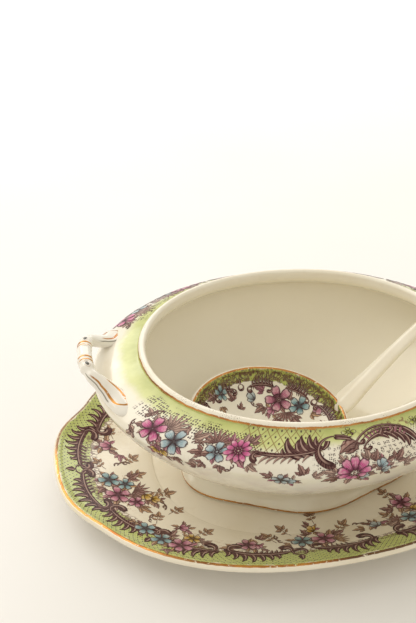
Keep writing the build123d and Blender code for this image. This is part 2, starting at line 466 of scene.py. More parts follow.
def make_tureen_bowl():
    outside = [(57, 44, 12.0, 0), (66, 52, 18.5, 0), (77, 62, 28.0, 0), (90, 73.5, 38.0, 0),
               (104, 85, 50.0, 0), (115, 92.5, 62.0, 0), (122, 97, 74.5, 0), (118.5, 95, 80.0, 0),
               (108, 88.5, 85.0, 0), (96, 80.3, 88.7, 0)]
    lip = [(95.5, 79.8, 88.9, 0), (95.3, 79.6, 90.0, 0), (94.9, 79.2, 90.9, 0), (93.9, 78.2, 91.8, 0),
           (92.8, 77.1, 92.0, 0), (91.7, 76.0, 91.4, 0), (91.1, 75.4, 90.0, 0), (91.4, 75.7, 85.5, 0),
           (94.5, 78.8, 81.5, 0)]
    inside = [(94.5, 78.8, 81.5, 0), (110, 88, 77.5, 0), (117, 92, 72.0, 0), (108.5, 86.5, 61.0, 0),
              (94, 76.5, 46.0, 0), (76, 61, 32.0, 0), (60, 48, 22.0, 0), (46, 36, 17.6, 0),
              (30, 24, 17.0, 0)]
    rows = profile((8, outside), (1, [outside[-1], lip[0]]), (4, lip), (7, inside))
    zero = rows_in((8, outside))
    return Ware("tureen_bowl_glazed", rows, BODY_POWER, plain_wave, zero, print_side=True)


def make_tureen_foot():
    outside = [(71.4, 52.4, 6.5, 1.0), (73.2, 54.2, 6.3, 1.0), (75.3, 56.3, 6.9, 1.0),
               (76.0, 57.0, 8.3, 1.0), (75.0, 56.2, 10.5, 1.0), (72.6, 54.4, 13.0, 0.8),
               (70.6, 53.2, 16.0, 0.5), (70.0, 53.0, 18.6, 0.3), (69.4, 53.6, 20.6, 0.1)]
    inside = [(66.0, 50.6, 20.6, 0.1), (65.0, 47.4, 15.0, 0.6), (69.5, 50.5, 7.4, 1.0),
              (71.4, 52.4, 6.5, 1.0)]
    rows = profile((5, outside), (1, [outside[-1], inside[0]]), (4, inside))[:-1]
    widest = rows_in((5, outside[:4]))
    return Ware("tureen_foot_glazed", rows, OVAL_POWER, foot_wave, widest, closed=True)


def make_stand():
    ring = [(76.5, 56.5, 3.0, 0), (77.4, 57.4, 1.2, 0), (78.8, 58.8, 0.1, 0), (81.0, 61.0, 0.0, 0),
            (83.2, 63.2, 0.1, 0), (84.6, 64.6, 1.2, 0), (86.5, 67.0, 3.4, 0)]
    under = [(86.5, 67.0, 3.4, 0), (102, 79, 5.5, 0.1), (123, 90, 11.5, 0.6), (139, 103, 16.0, 1),
             (145, 108, 18.5, 1)]
    roll = [(145, 108, 18.5, 1), (145.2, 108.2, 19.8, 1), (144.5, 107.5, 21.0, 1),
            (143.0, 106.0, 21.5, 1), (141.4, 104.4, 21.2, 1), (140.0, 103.0, 20.2, 1)]
    top = [(140.0, 103.0, 20.2, 1), (137, 100, 18.8, 1), (128, 94, 16.0, 0.85), (117, 87, 12.8, 0.6),
           (105, 80.5, 9.9, 0.3), (94, 75, 7.6, 0.1), (90.5, 72, 6.5, 0), (87, 69, 6.0, 0),
           (60, 48, 6.0, 0), (20, 16, 6.0, 0)]
    bottom = [(20, 15, 3.0, 0), (60, 45, 3.0, 0), (76.5, 56.5, 3.0, 0)]
    rows = profile((3, bottom), (3, ring), (7, under), (4, roll), (7, top))
    zero = rows_in((3, bottom), (3, ring), (7, under), (4, roll))
    return Ware("stand_glazed", rows, STAND_POWER, stand_wave, zero, turn=STAND_TURN)


# the ladle's bowl in mm: half its length and width, its depth and its wall
LADLE_HALF = (50.0, 43.0)
LADLE_DEPTH = 21.0
LADLE_WALL = 3.0
# how far along its quarter round a dish goes before its flat bottom
DISH_CURVE = 0.985
# where the ladle rests in the tureen
LADLE_PLACE = (Matrix.Translation(Vector((-19.0, -10.0, 42.0)) * MM)
               @ Matrix.Rotation(math.radians(6.0), 4, "Z")
               @ Matrix.Rotation(math.radians(5.9), 4, "Y")
               @ Matrix.Rotation(math.radians(11.3), 4, "X"))


def dish_rows(half_x, half_y, depth, count, top):
    """Rows of a rounded dish from its flattened bottom to its rim."""
    rows = []
    for i in range(count + 1):
        share = math.sin((1.0 - i / count) * math.pi / 2)
        reach = math.sqrt(1.0 - (share * DISH_CURVE) ** 2)
        rows.append((half_x * reach, half_y * reach, top - depth * share, 0))
    return rows


def make_ladle_bowl():
    half_x, half_y = LADLE_HALF
    outside = dish_rows(half_x, half_y, LADLE_DEPTH - 1.2, 10, -1.2)
    rim = [outside[-1], (half_x - 0.3, half_y - 0.3, -0.4, 0), (half_x - 1.4, half_y - 1.4, 0.0, 0),
           (half_x - 2.6, half_y - 2.6, -0.5, 0), (half_x - 3.0, half_y - 3.0, -1.4, 0)]
    inside = dish_rows(half_x - LADLE_WALL, half_y - LADLE_WALL, LADLE_DEPTH - LADLE_WALL - 1.4,
                       10, -1.4)
    rows = profile((3, outside), (3, rim), (3, inside[::-1]))
    zero = rows_in((3, outside), (3, rim))
    ware = Ware("ladle_bowl_glazed", rows, OVAL_POWER, plain_wave, zero)
    ware.moved(LADLE_PLACE)
    return ware


def sweep_rows(name, stations, section, around=32, steps=10):
    """A closed bar: section(row, angle) gives the half width and half thickness in mm."""
    path = np.vstack([smooth_run(stations, steps), [stations[-1]]])
    centre = path[:, :3] * MM
    run = np.gradient(centre, axis=0)
    run /= np.linalg.norm(run, axis=1)[:, None]
    across = np.cross([0.0, 0.0, 1.0], run)
    across /= np.linalg.norm(across, axis=1)[:, None]
    over = np.cross(run, across)
    angle = np.linspace(0, 2 * math.pi, around, endpoint=False)
    verts, faces, uvs = [], [], []
    length = np.concatenate([[0], np.cumsum(np.linalg.norm(np.diff(centre, axis=0), axis=1))])
    for k in range(len(centre)):
        wide, thick = section(path[k], angle)
        ring = (centre[k] + np.outer(wide * np.cos(angle), across[k]) * MM
                + np.outer(thick * np.sin(angle), over[k]) * MM)
        verts += [tuple(p) for p in ring]
    for k in range(len(centre) - 1):
        for i in range(around):
            j = (i + 1) % around
            here, there = k * around, (k + 1) * around
            faces.append((here + j, there + j, there + i, here + i))
            low, high = i / around, (i + 1) / around
            uvs += [(length[k], high), (length[k + 1], high), (length[k + 1], low), (length[k], low)]
    for k, start in ((0, True), (len(centre) - 1, False)):
        middle = len(verts)
        verts.append(tuple(centre[k]))
        for i in range(around):
            j = (i + 1) % around
            a, b = k * around + i, k * around + j
            faces.append((middle, b, a) if start else (middle, a, b))
            uvs += [(length[k], i / around)] * 3
    mesh = bpy.data.meshes.new(name)
    mesh.from_pydata(verts, [], faces)
    mesh.polygons.foreach_set("use_smooth", [True] * len(faces))
    layer = mesh.uv_layers.new(name="Edge")
    layer.data.foreach_set("uv", np.array(uvs, "f").ravel())
    return linked(name, mesh)


def peak(value, centre, width, power=2):
    """1 at centre, falling away over width; a higher power makes it flatter and steeper."""
    return np.exp(-((value - centre) / width) ** power)


# centre in mm, half width, half thickness
LADLE_HANDLE = [(25.6, 1.0, 32.7, 2.6, 0.8), (27.2, 1.3, 34.0, 6.2, 1.9), (30.0, 2.0, 36.5, 8.4, 2.9),
                (36.0, 3.2, 42.0, 8.4, 3.2), (48.0, 5.0, 54.5, 6.4, 3.2), (68.0, 8.0, 75.5, 4.9, 3.0),
                (91.0, 11.3, 97.0, 4.6, 3.0), (108.0, 13.7, 109.5, 5.4, 3.0),
                (124.0, 16.0, 117.5, 7.0, 2.8), (137.0, 17.8, 120.5, 7.4, 2.6),
                (143.0, 18.7, 120.7, 6.0, 2.3), (146.2, 19.1, 120.5, 2.2, 1.4)]
HANDLE_HALF = [(104.5, 41.5, 79.6, 1.8, 0.9), (105.8, 38.6, 80.1, 4.6, 2.2),
               (107.8, 34.5, 80.8, 6.0, 3.1), (111.8, 27.0, 82.6, 6.6, 3.6),
               (117.2, 21.6, 86.6, 5.2, 3.6), (122.6, 17.2, 90.6, 3.9, 3.5),
               (125.3, 9.5, 92.3, 3.8, 3.7), (125.8, 0.0, 92.3, 4.2, 4.1)]
GRIP_RINGS = (-8.6, -5.4, 5.4, 8.6)


def make_ladle_handle():
    def section(row, angle):
        ridge = 1.0 + 0.30 * peak(angle, math.pi / 2, 0.34)
        return row[3], row[4] * ridge
    return sweep_rows("ladle_handle_glazed", LADLE_HANDLE, section)


def make_handle(side):
    """The looped handle at the left (-1) or the right (1) end."""
    stations = [(side * x, y, z, wide, thick) for x, y, z, wide, thick in HANDLE_HALF]
    stations += [(side * x, -y, z, wide, thick) for x, y, z, wide, thick in reversed(HANDLE_HALF[:-1])]

    def section(row, angle):
        y = abs(row[1])
        ring = sum(peak(row[1], at, 0.9) for at in GRIP_RINGS)
        knob = 0.55 * peak(y, 12.2, 1.6) - 0.35 * peak(y, 15.6, 1.4)
        leaf = peak(y, 30.0, 8.0, 4)
        up = np.clip(np.sin(angle), 0.0, 1.0) ** 0.5
        ridge = -0.16 * leaf * up * peak(np.abs(np.cos(angle)), 0.50, 0.10)
        swell = 0.5 * ring + knob
        return (row[3] + swell) * (1 + ridge), (row[4] + swell) * (1 + ridge)
    name = "left_handle_glazed" if side < 0 else "right_handle_glazed"
    return sweep_rows(name, stations, section, steps=14)


# ---------------------------------------------------------------- printed and enamelled motifs

PINK = (0.60, 0.12, 0.30)
MAUVE = (0.46, 0.17, 0.24)
BLUE = (0.33, 0.46, 0.51)
GREY_BLUE = (0.36, 0.44, 0.46)
FADED_PINK = (0.50, 0.17, 0.26)
FADED_BLUE = (0.22, 0.38, 0.41)
YELLOW = (0.60, 0.38, 0.06)
PLUM_WASH = (0.31, 0.16, 0.14)
PALE_WASH = (0.50, 0.34, 0.28)
TAN_WASH = (0.50, 0.31, 0.17)
CARTOUCHE_GREEN = (0.42, 0.47, 0.09)
INK = (0.042, 0.010, 0.012)
# mm: how far a print stands proud and is sunk, how far each blade rises over the one before,
# and how far each layer of print rises over the last
PRINT_TOP = 0.10
PRINT_SUNK = 0.06
BLADE_STEP = 0.007
LAYER_STEP = 0.03
# the least width of a blade, as a share of its greatest
LEAST_WIDTH = 0.06
SHARP_ANGLE = math.radians(40.0)


def petal_width(s):
    return np.sin(0.5 * math.pi * s ** 0.75) * (1.0 - 0.30 * s ** 5)


def point_width(s):
    return np.sin(math.pi * s ** 1.25) ** 0.8


def leaf_width(s):
    return np.sin(math.pi * s ** 0.72) ** 0.85 * (1.0 + 0.20 * np.cos(2 * math.pi * 3.0 * s))


def stem_width(s):
    return np.minimum(1.0, (1.0 - s) * 14.0 + 0.15) * np.minimum(1.0, s * 10.0 + 0.3)


def scroll_width(s):
    return 0.16 + 0.84 * np.sin(math.pi * s ** 1.5) ** 1.2


def club_width(s):
    """Thin at the root, thickest near a round end."""
    end = min(1.0, max(0.0, (s - 0.86) / 0.14))
    return (0.14 + 0.86 * math.sin(0.5 * math.pi * s) ** 1.6) * math.sqrt(max(0.0, 1.0 - end * end))


def claw_width(s):
    """Wide at the root and drawn out to a point."""
    return (1.0 - s) ** 0.8 * (0.75 + 0.9 * s)


def disc_width(s):
    return np.sqrt(np.clip(1.0 - (2.0 * s - 1.0) ** 2, 0.0, 1.0))


FORMS = {"petal": petal_width, "point": point_width, "leaf": leaf_width, "stem": stem_width,
         "scroll": scroll_width, "club": club_width, "claw": claw_width, "disc": disc_width}


def bent_line(x, y, heading, length, bend, share):
    """A point and its heading on a line from (x, y) that turns steadily by bend degrees."""
    turned = np.radians(heading + bend * share)
    start = math.radians(heading)
    if abs(bend) < 0.5:
        return x + length * share * math.cos(start), y + length * share * math.sin(start), turned
    radius = length / math.radians(bend)
    x_move = radius * (np.sin(turned) - math.sin(start))
    y_move = radius * (np.cos(turned) - math.cos(start))
    return x + x_move, y - y_move, turned


def towards(degrees):
    """The unit step in a direction."""
    return math.cos(math.radians(degrees)), math.sin(math.radians(degrees))


class Motif:
    """Flat blades drawn in millimetres, each a thin closed slab, gathered into one mesh."""

    def __init__(self, name):
        self.name = name
        self.verts, self.faces = [], []
        self.along, self.across = [], []
        self.count = 0

    def blade(self, x, y, heading, length, width, bend=0.0, form="leaf", steps=6, lanes=2,
              dark=False):
        """One blade from (x, y): its width follows a form, and it turns by bend degrees."""
        start = len(self.verts)
        lift = self.count * BLADE_STEP
        grid, along, across = [], [], []
        for i in range(steps + 1):
            s = i / steps
            half = max(float(FORMS[form](s)), LEAST_WIDTH) * width / 2.0
            for j in range(lanes + 1):
                t = 2.0 * j / lanes - 1.0
                reach = s
                if form == "petal":
                    reach = s * (1.0 - 0.16 * t * t - 0.08 * math.exp(-(t / 0.3) ** 2))
                cx, cy, turn = bent_line(x, y, heading, length, bend, reach)
                grid.append((cx - math.sin(turn) * half * t, cy + math.cos(turn) * half * t))
                along.append(0.0 if dark else s)
                across.append(t)
        self.along += along * 2
        self.across += across * 2
        for z in (PRINT_TOP + lift, -PRINT_SUNK):
            self.verts += [(px * MM, py * MM, z * MM) for px, py in grid]
        wide = lanes + 1
        under = len(grid)
        for i in range(steps):
            for j in range(lanes):
                a = start + i * wide + j
                quad = (a, a + wide, a + wide + 1, a + 1)
                self.faces.append(quad)
                self.faces.append(tuple(v + under for v in reversed(quad)))
        rim = [i * wide for i in range(steps + 1)] + [steps * wide + j for j in range(1, wide)]
        rim += [i * wide + lanes for i in range(steps - 1, -1, -1)] + list(range(lanes - 1, 0, -1))
        for a, b in zip(rim, rim[1:] + rim[:1]):
            a, b = a + start, b + start
            self.faces.append((a, a + under, b + under, b))
        self.count += 1

    def mirrored(self):
        """The same motif turned over left to right."""
        other = Motif(self.name + "_mirrored")
        other.verts = [(-x, y, z) for x, y, z in self.verts]
        other.faces = [tuple(reversed(face)) for face in self.faces]
        other.along, other.across = self.along, [-t for t in self.across]
        return other

    def object(self):
        mesh = bpy.data.meshes.new(self.name)
        mesh.from_pydata(self.verts, [], self.faces)
        for key, values in (("along", self.along), ("across", self.across)):
            mesh.attributes.new(key, "FLOAT", "POINT").data.foreach_set("value", values)
        mesh.polygons.foreach_set("use_smooth", [True] * len(self.faces))
        mesh.set_sharp_from_angle(angle=SHARP_ANGLE)
        return linked(self.name, mesh)


def round_flower(name, petals, start, inner, length, width, form, lanes):
    motif = Motif(name)
    motif.blade(-0.5, 0.0, 0, 1.0, 1.0, 0, "disc", 6, 4, dark=True)
    for k in range(petals):
        turn = start + 360.0 * k / petals
        x, y = towards(turn)
        uneven = 1.0 + 0.07 * math.sin(2.3 * k)
        bend = 5.0 * math.sin(1.7 * k)
        motif.blade(inner * x, inner * y, turn, length * uneven, width, bend, form, 6, lanes)
    return motif


def motif_blossom():
    return round_flower("blossom", 5, 90.0, 0.07, 0.98, 0.76, "petal", 4)


def motif_daisy():
    return round_flower("daisy", 10, 90.0, 0.16, 0.86, 0.46, "point", 4)


def motif_half_flower():
    motif = Motif("half_flower")
    for heading, length, width in ((200, 0.82, 0.50), (160, 0.92, 0.62), (122, 1.0, 0.64),
                                   (85, 1.0, 0.66), (46, 1.0, 0.64), (10, 0.90, 0.60),
                                   (-30, 0.7, 0.48), (-90, 0.5, 0.60), (235, 0.55, 0.45)):
        x, y = towards(heading)
        motif.blade(0.16 * x, 0.16 * y, heading, length, width, 6, "petal", 6, 4)
    return motif


def motif_bud():
    motif = Motif("bud")
    for heading, length, width, bend in ((140, 1.0, 0.60, -40), (40, 1.0, 0.60, 40),
                                         (90, 1.2, 0.80, 0)):
        motif.blade(0.0, -0.55, heading, length, width, bend, "petal", 6, 4)
    return motif


def motif_eye():
    motif = Motif("flower_eye")
    motif.blade(-0.09, 0.0, 0, 0.18, 0.18, 0, "disc", 4, 2)
    for k in range(9):
        x, y = towards(40 * k)
        motif.blade(0.24 * x - 0.045, 0.24 * y, 0, 0.09, 0.09, 0, "disc", 3, 2)
    return motif


def motif_leaf():
    motif = Motif("leaf")
    motif.blade(0.05, 0.08, 30, 0.66, 0.34, 34, "leaf", 8, 2)
    motif.blade(-0.05, 0.08, 150, 0.66, 0.34, -34, "leaf", 8, 2)
    motif.blade(0, 0, 90, 1.05, 0.46, 12, "leaf", 10, 2)
    return motif


def motif_frond():
    motif = Motif("frond")
    motif.blade(0, 0, 90, 1.0, 0.50, 22, "leaf", 6, 2)
    return motif


def motif_ivy():
    motif = Motif("ivy_sprig")
    motif.blade(0.05, -0.8, 100, 0.95, 0.05, -16, "stem", 6, 2)
    for x, y, heading, length in ((0.0, -0.30, 165, 0.42), (0.04, -0.25, 20, 0.40),
                                  (0.0, 0.05, 150, 0.52), (0.06, 0.05, 32, 0.50),
                                  (0.02, 0.10, 92, 0.66)):
        motif.blade(x, y, heading, length, length * 0.56, 8, "leaf", 7, 2)
    return motif


def motif_plume():
    motif = Motif("plume")
    for k in (0, 8, 1, 7, 2, 6, 3, 5, 4):
        spread = (k - 4) * 17.0
        length = 1.05 - 0.05 * abs(k - 4)
        motif.blade(0.02 * (k - 4), 0, 90 - spread, length, 0.19, -spread * 0.45, "leaf", 7, 2)
    return motif


def motif_tendril():
    motif = Motif("tendril")
    motif.blade(0, 0, 100, 1.1, 0.11, -120, "stem", 10, 2)
    motif.blade(0.38, 0.62, -10, 0.75, 0.14, -330, "scroll", 14, 2)
    motif.blade(0.0, 0.2, 165, 0.55, 0.10, 170, "stem", 8, 2)
    return motif


def motif_acanthus():
    motif = Motif("acanthus_scroll")
    lobes = ((35.0, 6.4, 150, 9.5, 4.6), (33.6, 5.4, 158, 13.0, 5.4), (31.0, 4.2, 166, 15.0, 6.0),
             (26.5, 2.8, 158, 12.0, 5.2), (24.0, 2.0, 168, 16.0, 6.8), (17.0, 1.9, 164, 6.5, 3.4))
    for x, y, heading, length, width in lobes:
        motif.blade(x, y, heading, length, width, -88, "claw", 12, 4)
    motif.blade(36.0, 6.6, 198, 37.0, 2.4, -26, "stem", 20, 2)
    motif.blade(1.8, 3.3, 176, 8.5, 3.6, 205, "club", 12, 2)
    return motif


def motif_acanthus_teeth():
    motif = Motif("acanthus_teeth")
    for at in (5.0, 8.6, 12.2, 15.8, 19.4, 23.0, 26.6):
        motif.blade(at + 3.4, 0.08 * at + 1.4, 200, 7.4, 2.4, 54, "claw", 7, 2)
    return motif


def motif_hook():
    motif = Motif("hook_scroll")
    motif.blade(20.6, 4.8, 160, 6.0, 1.8, -200, "club", 8, 2)
    motif.blade(20.4, 6.0, 152, 9.8, 0.9, 26, "stem", 12, 2)
    motif.blade(20.0, 4.8, 158, 9.6, 2.4, 20, "stem", 12, 2)
    motif.blade(7.0, 5.0, 262, 7.0, 3.8, -50, "claw", 8, 2)
    motif.blade(11.0, 7.8, 178, 29.0, 4.8, 178, "club", 28, 4)
    return motif


def motif_hook_leaf():
    motif = Motif("hook_leaf")
    motif.blade(22.0, 3.0, 176, 9.0, 4.6, 36, "leaf", 9, 2)
    motif.blade(22.6, 2.2, 232, 10.0, 5.0, -24, "leaf", 9, 2)
    motif.blade(22.5, 3.2, 202, 12.5, 6.2, 24, "leaf", 10, 4)
    return motif


# the lines of the crest and of the border scroll: x, y, heading, length, bend
CREST_OUTER = (0.0, 0.0, 58.0, 38.0, -112.0)
CREST_INNER = (3.2, -4.2, 62.0, 34.0, -132.0)
BORDER_LINE = (-15.0, -2.0, 24.0, 33.0, -48.0)


def motif_crest():
    motif = Motif("crest_scroll")
    x, y, heading, length, bend = CREST_OUTER
    motif.blade(x, y, heading, length, 1.3, bend, "stem", 26, 2)
    motif.blade(x + 1.6, y - 1.4, heading, length * 0.93, 2.6, bend, "club", 26, 2)
    x, y, heading, length, bend = CREST_INNER
    motif.blade(x, y, heading, length, 4.2, bend, "scroll", 24, 2)
    for share, length in ((0.40, 6.5), (0.54, 8.0), (0.68, 8.4), (0.82, 7.6)):
        x, y, turn = bent_line(*CREST_INNER, share)
        motif.blade(x, y, math.degrees(turn) - 22, length, 3.8, -58, "claw", 8, 2)
    for share in (0.44, 0.60):
        x, y, turn = bent_line(*CREST_INNER, share)
        motif.blade(x, y, math.degrees(turn) + 30, 5.0, 3.4, 55, "claw", 7, 2)
    x, y, turn = bent_line(*CREST_OUTER, 0.84)
    motif.blade(x + 0.8, y - 2.0, math.degrees(turn) - 14, 12.0, 4.8, -52, "claw", 10, 4)
    motif.blade(1.5, 2.2, 236, 6.8, 3.0, 250, "club", 12, 2)
    motif.blade(4.4, -2.4, 236, 6.0, 2.4, 240, "club", 11, 2)
    return motif


def motif_crest_bars():
    """The slanting bars between the two arcs of the crest."""
    motif = Motif("crest_bars")
    for share in np.linspace(0.22, 0.92, 10):
        x, y, turn = bent_line(*CREST_OUTER, share)
        motif.blade(x + 0.6, y - 0.8, math.degrees(turn) - 100, 4.8, 1.5, 8, "stem", 4, 2)
    return motif


def motif_border_scroll():
    """A feathered scroll for the inner edge of the stand's border, 30 mm long."""
    motif = Motif("border_scroll")
    for share in (0.16, 0.24, 0.32, 0.40, 0.48, 0.56):
        x, y, turn = bent_line(*BORDER_LINE, share)
        motif.blade(x, y, math.degrees(turn) + 214, 5.0, 2.0, 60, "claw", 6, 2)
    for share, length in ((0.98, 8.0), (0.88, 9.5), (0.77, 10.5), (0.65, 10.5), (0.52, 9.5),
                          (0.39, 8.0), (0.27, 6.5)):
        x, y, turn = bent_line(*BORDER_LINE, share)
        motif.blade(x, y, math.degrees(turn) + 172, length, 4.2, -112, "claw", 9, 2)
    x, y, heading, length, bend = BORDER_LINE
    motif.blade(x, y, heading, length, 2.6, bend, "stem", 16, 2)
    motif.blade(-14.0, -1.4, 190, 11.5, 4.6, 255, "club", 12, 2)
    motif.blade(12.0, 0.6, -10, 13.5, 4.6, -235, "club", 12, 2)
    return motif


def motif_border_curl():
    """Two facing curls that close a gap between border scrolls."""
    motif = Motif("border_curl")
    motif.blade(0.0, 0.4, 168, 11.0, 2.8, 225, "club", 12, 2)
    motif.blade(0.0, 0.4, 12, 11.0, 2.8, -225, "club", 12, 2)
    motif.blade(0.0, 0.6, 90, 5.2, 3.4, 0, "leaf", 7, 2)
    return motif


def motif_cartouche():
    motif = Motif("cartouche")
    for k in range(4):
        turn = 90.0 * k
        x, y = towards(turn)
        motif.blade(0.10 * x, 0.10 * y, turn, 0.9 + 0.25 * (k % 2 == 0), 0.85, 0, "petal", 5, 4)
    return motif


# ---------------------------------------------------------------- laying a print on a surface


class Layout(Nodes):
    """A Geometry Nodes tree with named inputs."""

    def __init__(self, name, sockets):
        super().__init__(bpy.data.node_groups.new(name, "GeometryNodeTree"))
        face = self.tree.interface
        self.keys = {}
        for label, kind in sockets:
            self.keys[label] = face.new_socket(label, in_out="INPUT", socket_type=kind).identifier
        face.new_socket("Geometry", in_out="OUTPUT", socket_type="NodeSocketGeometry")
        self.given = self.tree.nodes.new("NodeGroupInput").outputs
        self.result = self.tree.nodes.new("NodeGroupOutput").inputs[0]

    def named(self, name, kind="FLOAT"):
        return self.node("GeometryNodeInputNamedAttribute", {"data_type": kind}, {0: name}).outputs[0]

    def vector(self, operation, *values):
        settings = {"operation": operation}
        return self.node("ShaderNodeVectorMath", settings, dict(enumerate(values))).outputs[0]

    def run(self, obj, values):
        """Runs the tree on an object and returns the result as a plain mesh."""
        modifier = obj.modifiers.new(self.tree.name, "NODES")
        modifier.node_group = self.tree
        for label, value in values.items():
            modifier[self.keys[label]] = value
        obj.update_tag()
        bpy.context.view_layer.update()
        graph = bpy.context.evaluated_depsgraph_get()
        shaped = obj.evaluated_get(graph)
        mesh = bpy.data.meshes.new_from_object(shaped, preserve_all_data_layers=True, depsgraph=graph)
        obj.modifiers.remove(modifier)
        return mesh


def print_layout():
    """Sets a motif on every mark, then lays the flat print on the ware's surface."""
    layout = Layout("lay_print", [
        ("Geometry", "NodeSocketGeometry"), ("Motif", "NodeSocketObject"), ("Ware", "NodeSocketObject"),
        ("Lift", "NodeSocketFloat"), ("Enamel", "NodeSocketMaterial")])
    given = layout.given
    store = {"data_type": "FLOAT_VECTOR", "domain": "POINT"}
    place = layout.node("GeometryNodeInputPosition").outputs[0]
    marks = layout.node("GeometryNodeStoreNamedAttribute", store,
                        {"Geometry": given["Geometry"], "Name": "home", "Value": place}).outputs[0]
    spin = layout.node("FunctionNodeEulerToRotation", None,
                       {0: layout.joined(0.0, 0.0, layout.named("turn"))}).outputs[0]
    motif = layout.node("GeometryNodeObjectInfo", None, {0: given["Motif"]}).outputs["Geometry"]
    copies = layout.node("GeometryNodeInstanceOnPoints", None,
                         {"Points": marks, "Instance": motif, "Rotation": spin,
                          "Scale": layout.named("size", "FLOAT_VECTOR")}).outputs[0]
    flat = layout.node("GeometryNodeRealizeInstances", None, {0: copies}).outputs[0]
    # room along the ware's girth is smaller where the ware is narrower
    home = layout.named("home", "FLOAT_VECTOR")
    away = layout.vector("SUBTRACT", place, home)
    away = layout.vector("MULTIPLY", away, layout.joined(layout.named("stretch"), 1.0, 1.0))
    split = layout.node("ShaderNodeSeparateXYZ", None, {0: layout.vector("ADD", home, away)}).outputs
    spot = layout.joined(split[0], split[1], 0.0)
    ware = layout.node("GeometryNodeObjectInfo", None, {0: given["Ware"]}).outputs["Geometry"]
    sampled = []
    for value in (place, layout.named("outward", "FLOAT_VECTOR")):
        sampled.append(layout.node("GeometryNodeSampleUVSurface", {"data_type": "FLOAT_VECTOR"},
                                   {0: ware, 1: value, 2: layout.named("Print", "FLOAT_VECTOR"),
                                    3: spot}).outputs[0])
    height = layout.node("ShaderNodeMath", {"operation": "ADD"},
                         {0: split[2], 1: given["Lift"]}).outputs[0]
    rise = layout.node("ShaderNodeVectorMath", {"operation": "SCALE"},
                       {0: sampled[1], "Scale": height}).outputs[0]
    laid = layout.node("GeometryNodeSetPosition", None,
                       {0: flat, "Position": layout.vector("ADD", sampled[0], rise)}).outputs[0]
    done = layout.node("GeometryNodeSetMaterial", None,
                       {0: laid, "Material": given["Enamel"]}).outputs[0]
    layout.tree.links.new(done, layout.result)
    return layout


class Printer:
    """Lays motifs on the wares and dresses the result."""

    def __init__(self):
        self.layout = print_layout()
        self.count = {}

    def lay(self, ware, body, slot, motif, marks, enamel, layer):
        """marks are (x, y, turn in degrees, size, tint) on the ware's Print map, in mm."""
        motif_object = motif.object()
        mesh = bpy.data.meshes.new("marks")
        mesh.from_pydata([(x * MM, y * MM, 0.0) for x, y, *_ in marks], [], [])
        floats = {"turn": [math.radians(mark[2]) for mark in marks],
                  "stretch": [ware.stretch_at(mark[1] * MM) for mark in marks]}
        for key, values in floats.items():
            mesh.attributes.new(key, "FLOAT", "POINT").data.foreach_set("value", values)
        vectors = {"size": [(mark[3], mark[3], 1.0) for mark in marks],
                   "tint": [mark[4] for mark in marks]}
        for key, values in vectors.items():
            attribute = mesh.attributes.new(key, "FLOAT_VECTOR", "POINT").data
            attribute.foreach_set("vector", np.array(values, "f").ravel())
        holder = linked("marks", mesh)
        laid = self.layout.run(holder, {"Motif": motif_object, "Ware": ware.object, "Enamel": enamel,
                                        "Lift": layer * LAYER_STEP * MM})
        bpy.data.objects.remove(holder)
        bpy.data.objects.remove(motif_object)
        name = ware.object.name.replace("_glazed", "") + "_" + motif.name
        self.count[name] = self.count.get(name, 0) + 1
        laid.name = name
        piece = linked(name + "_%d" % self.count[name], laid)
        dress(piece, enamel, body, slot)


# ---------------------------------------------------------------- glazes of each piece

# mm round the belly from one printed panel to the next
PANEL = 346.75


def net(u, v, wide, tall):
    """Two families of slanting lines, each as a distance from its line in -0.5 to 0.5."""
    one = (u / wide + v / tall).part() - 0.5
    two = (u / wide - v / tall).part() - 0.5
    return one, two


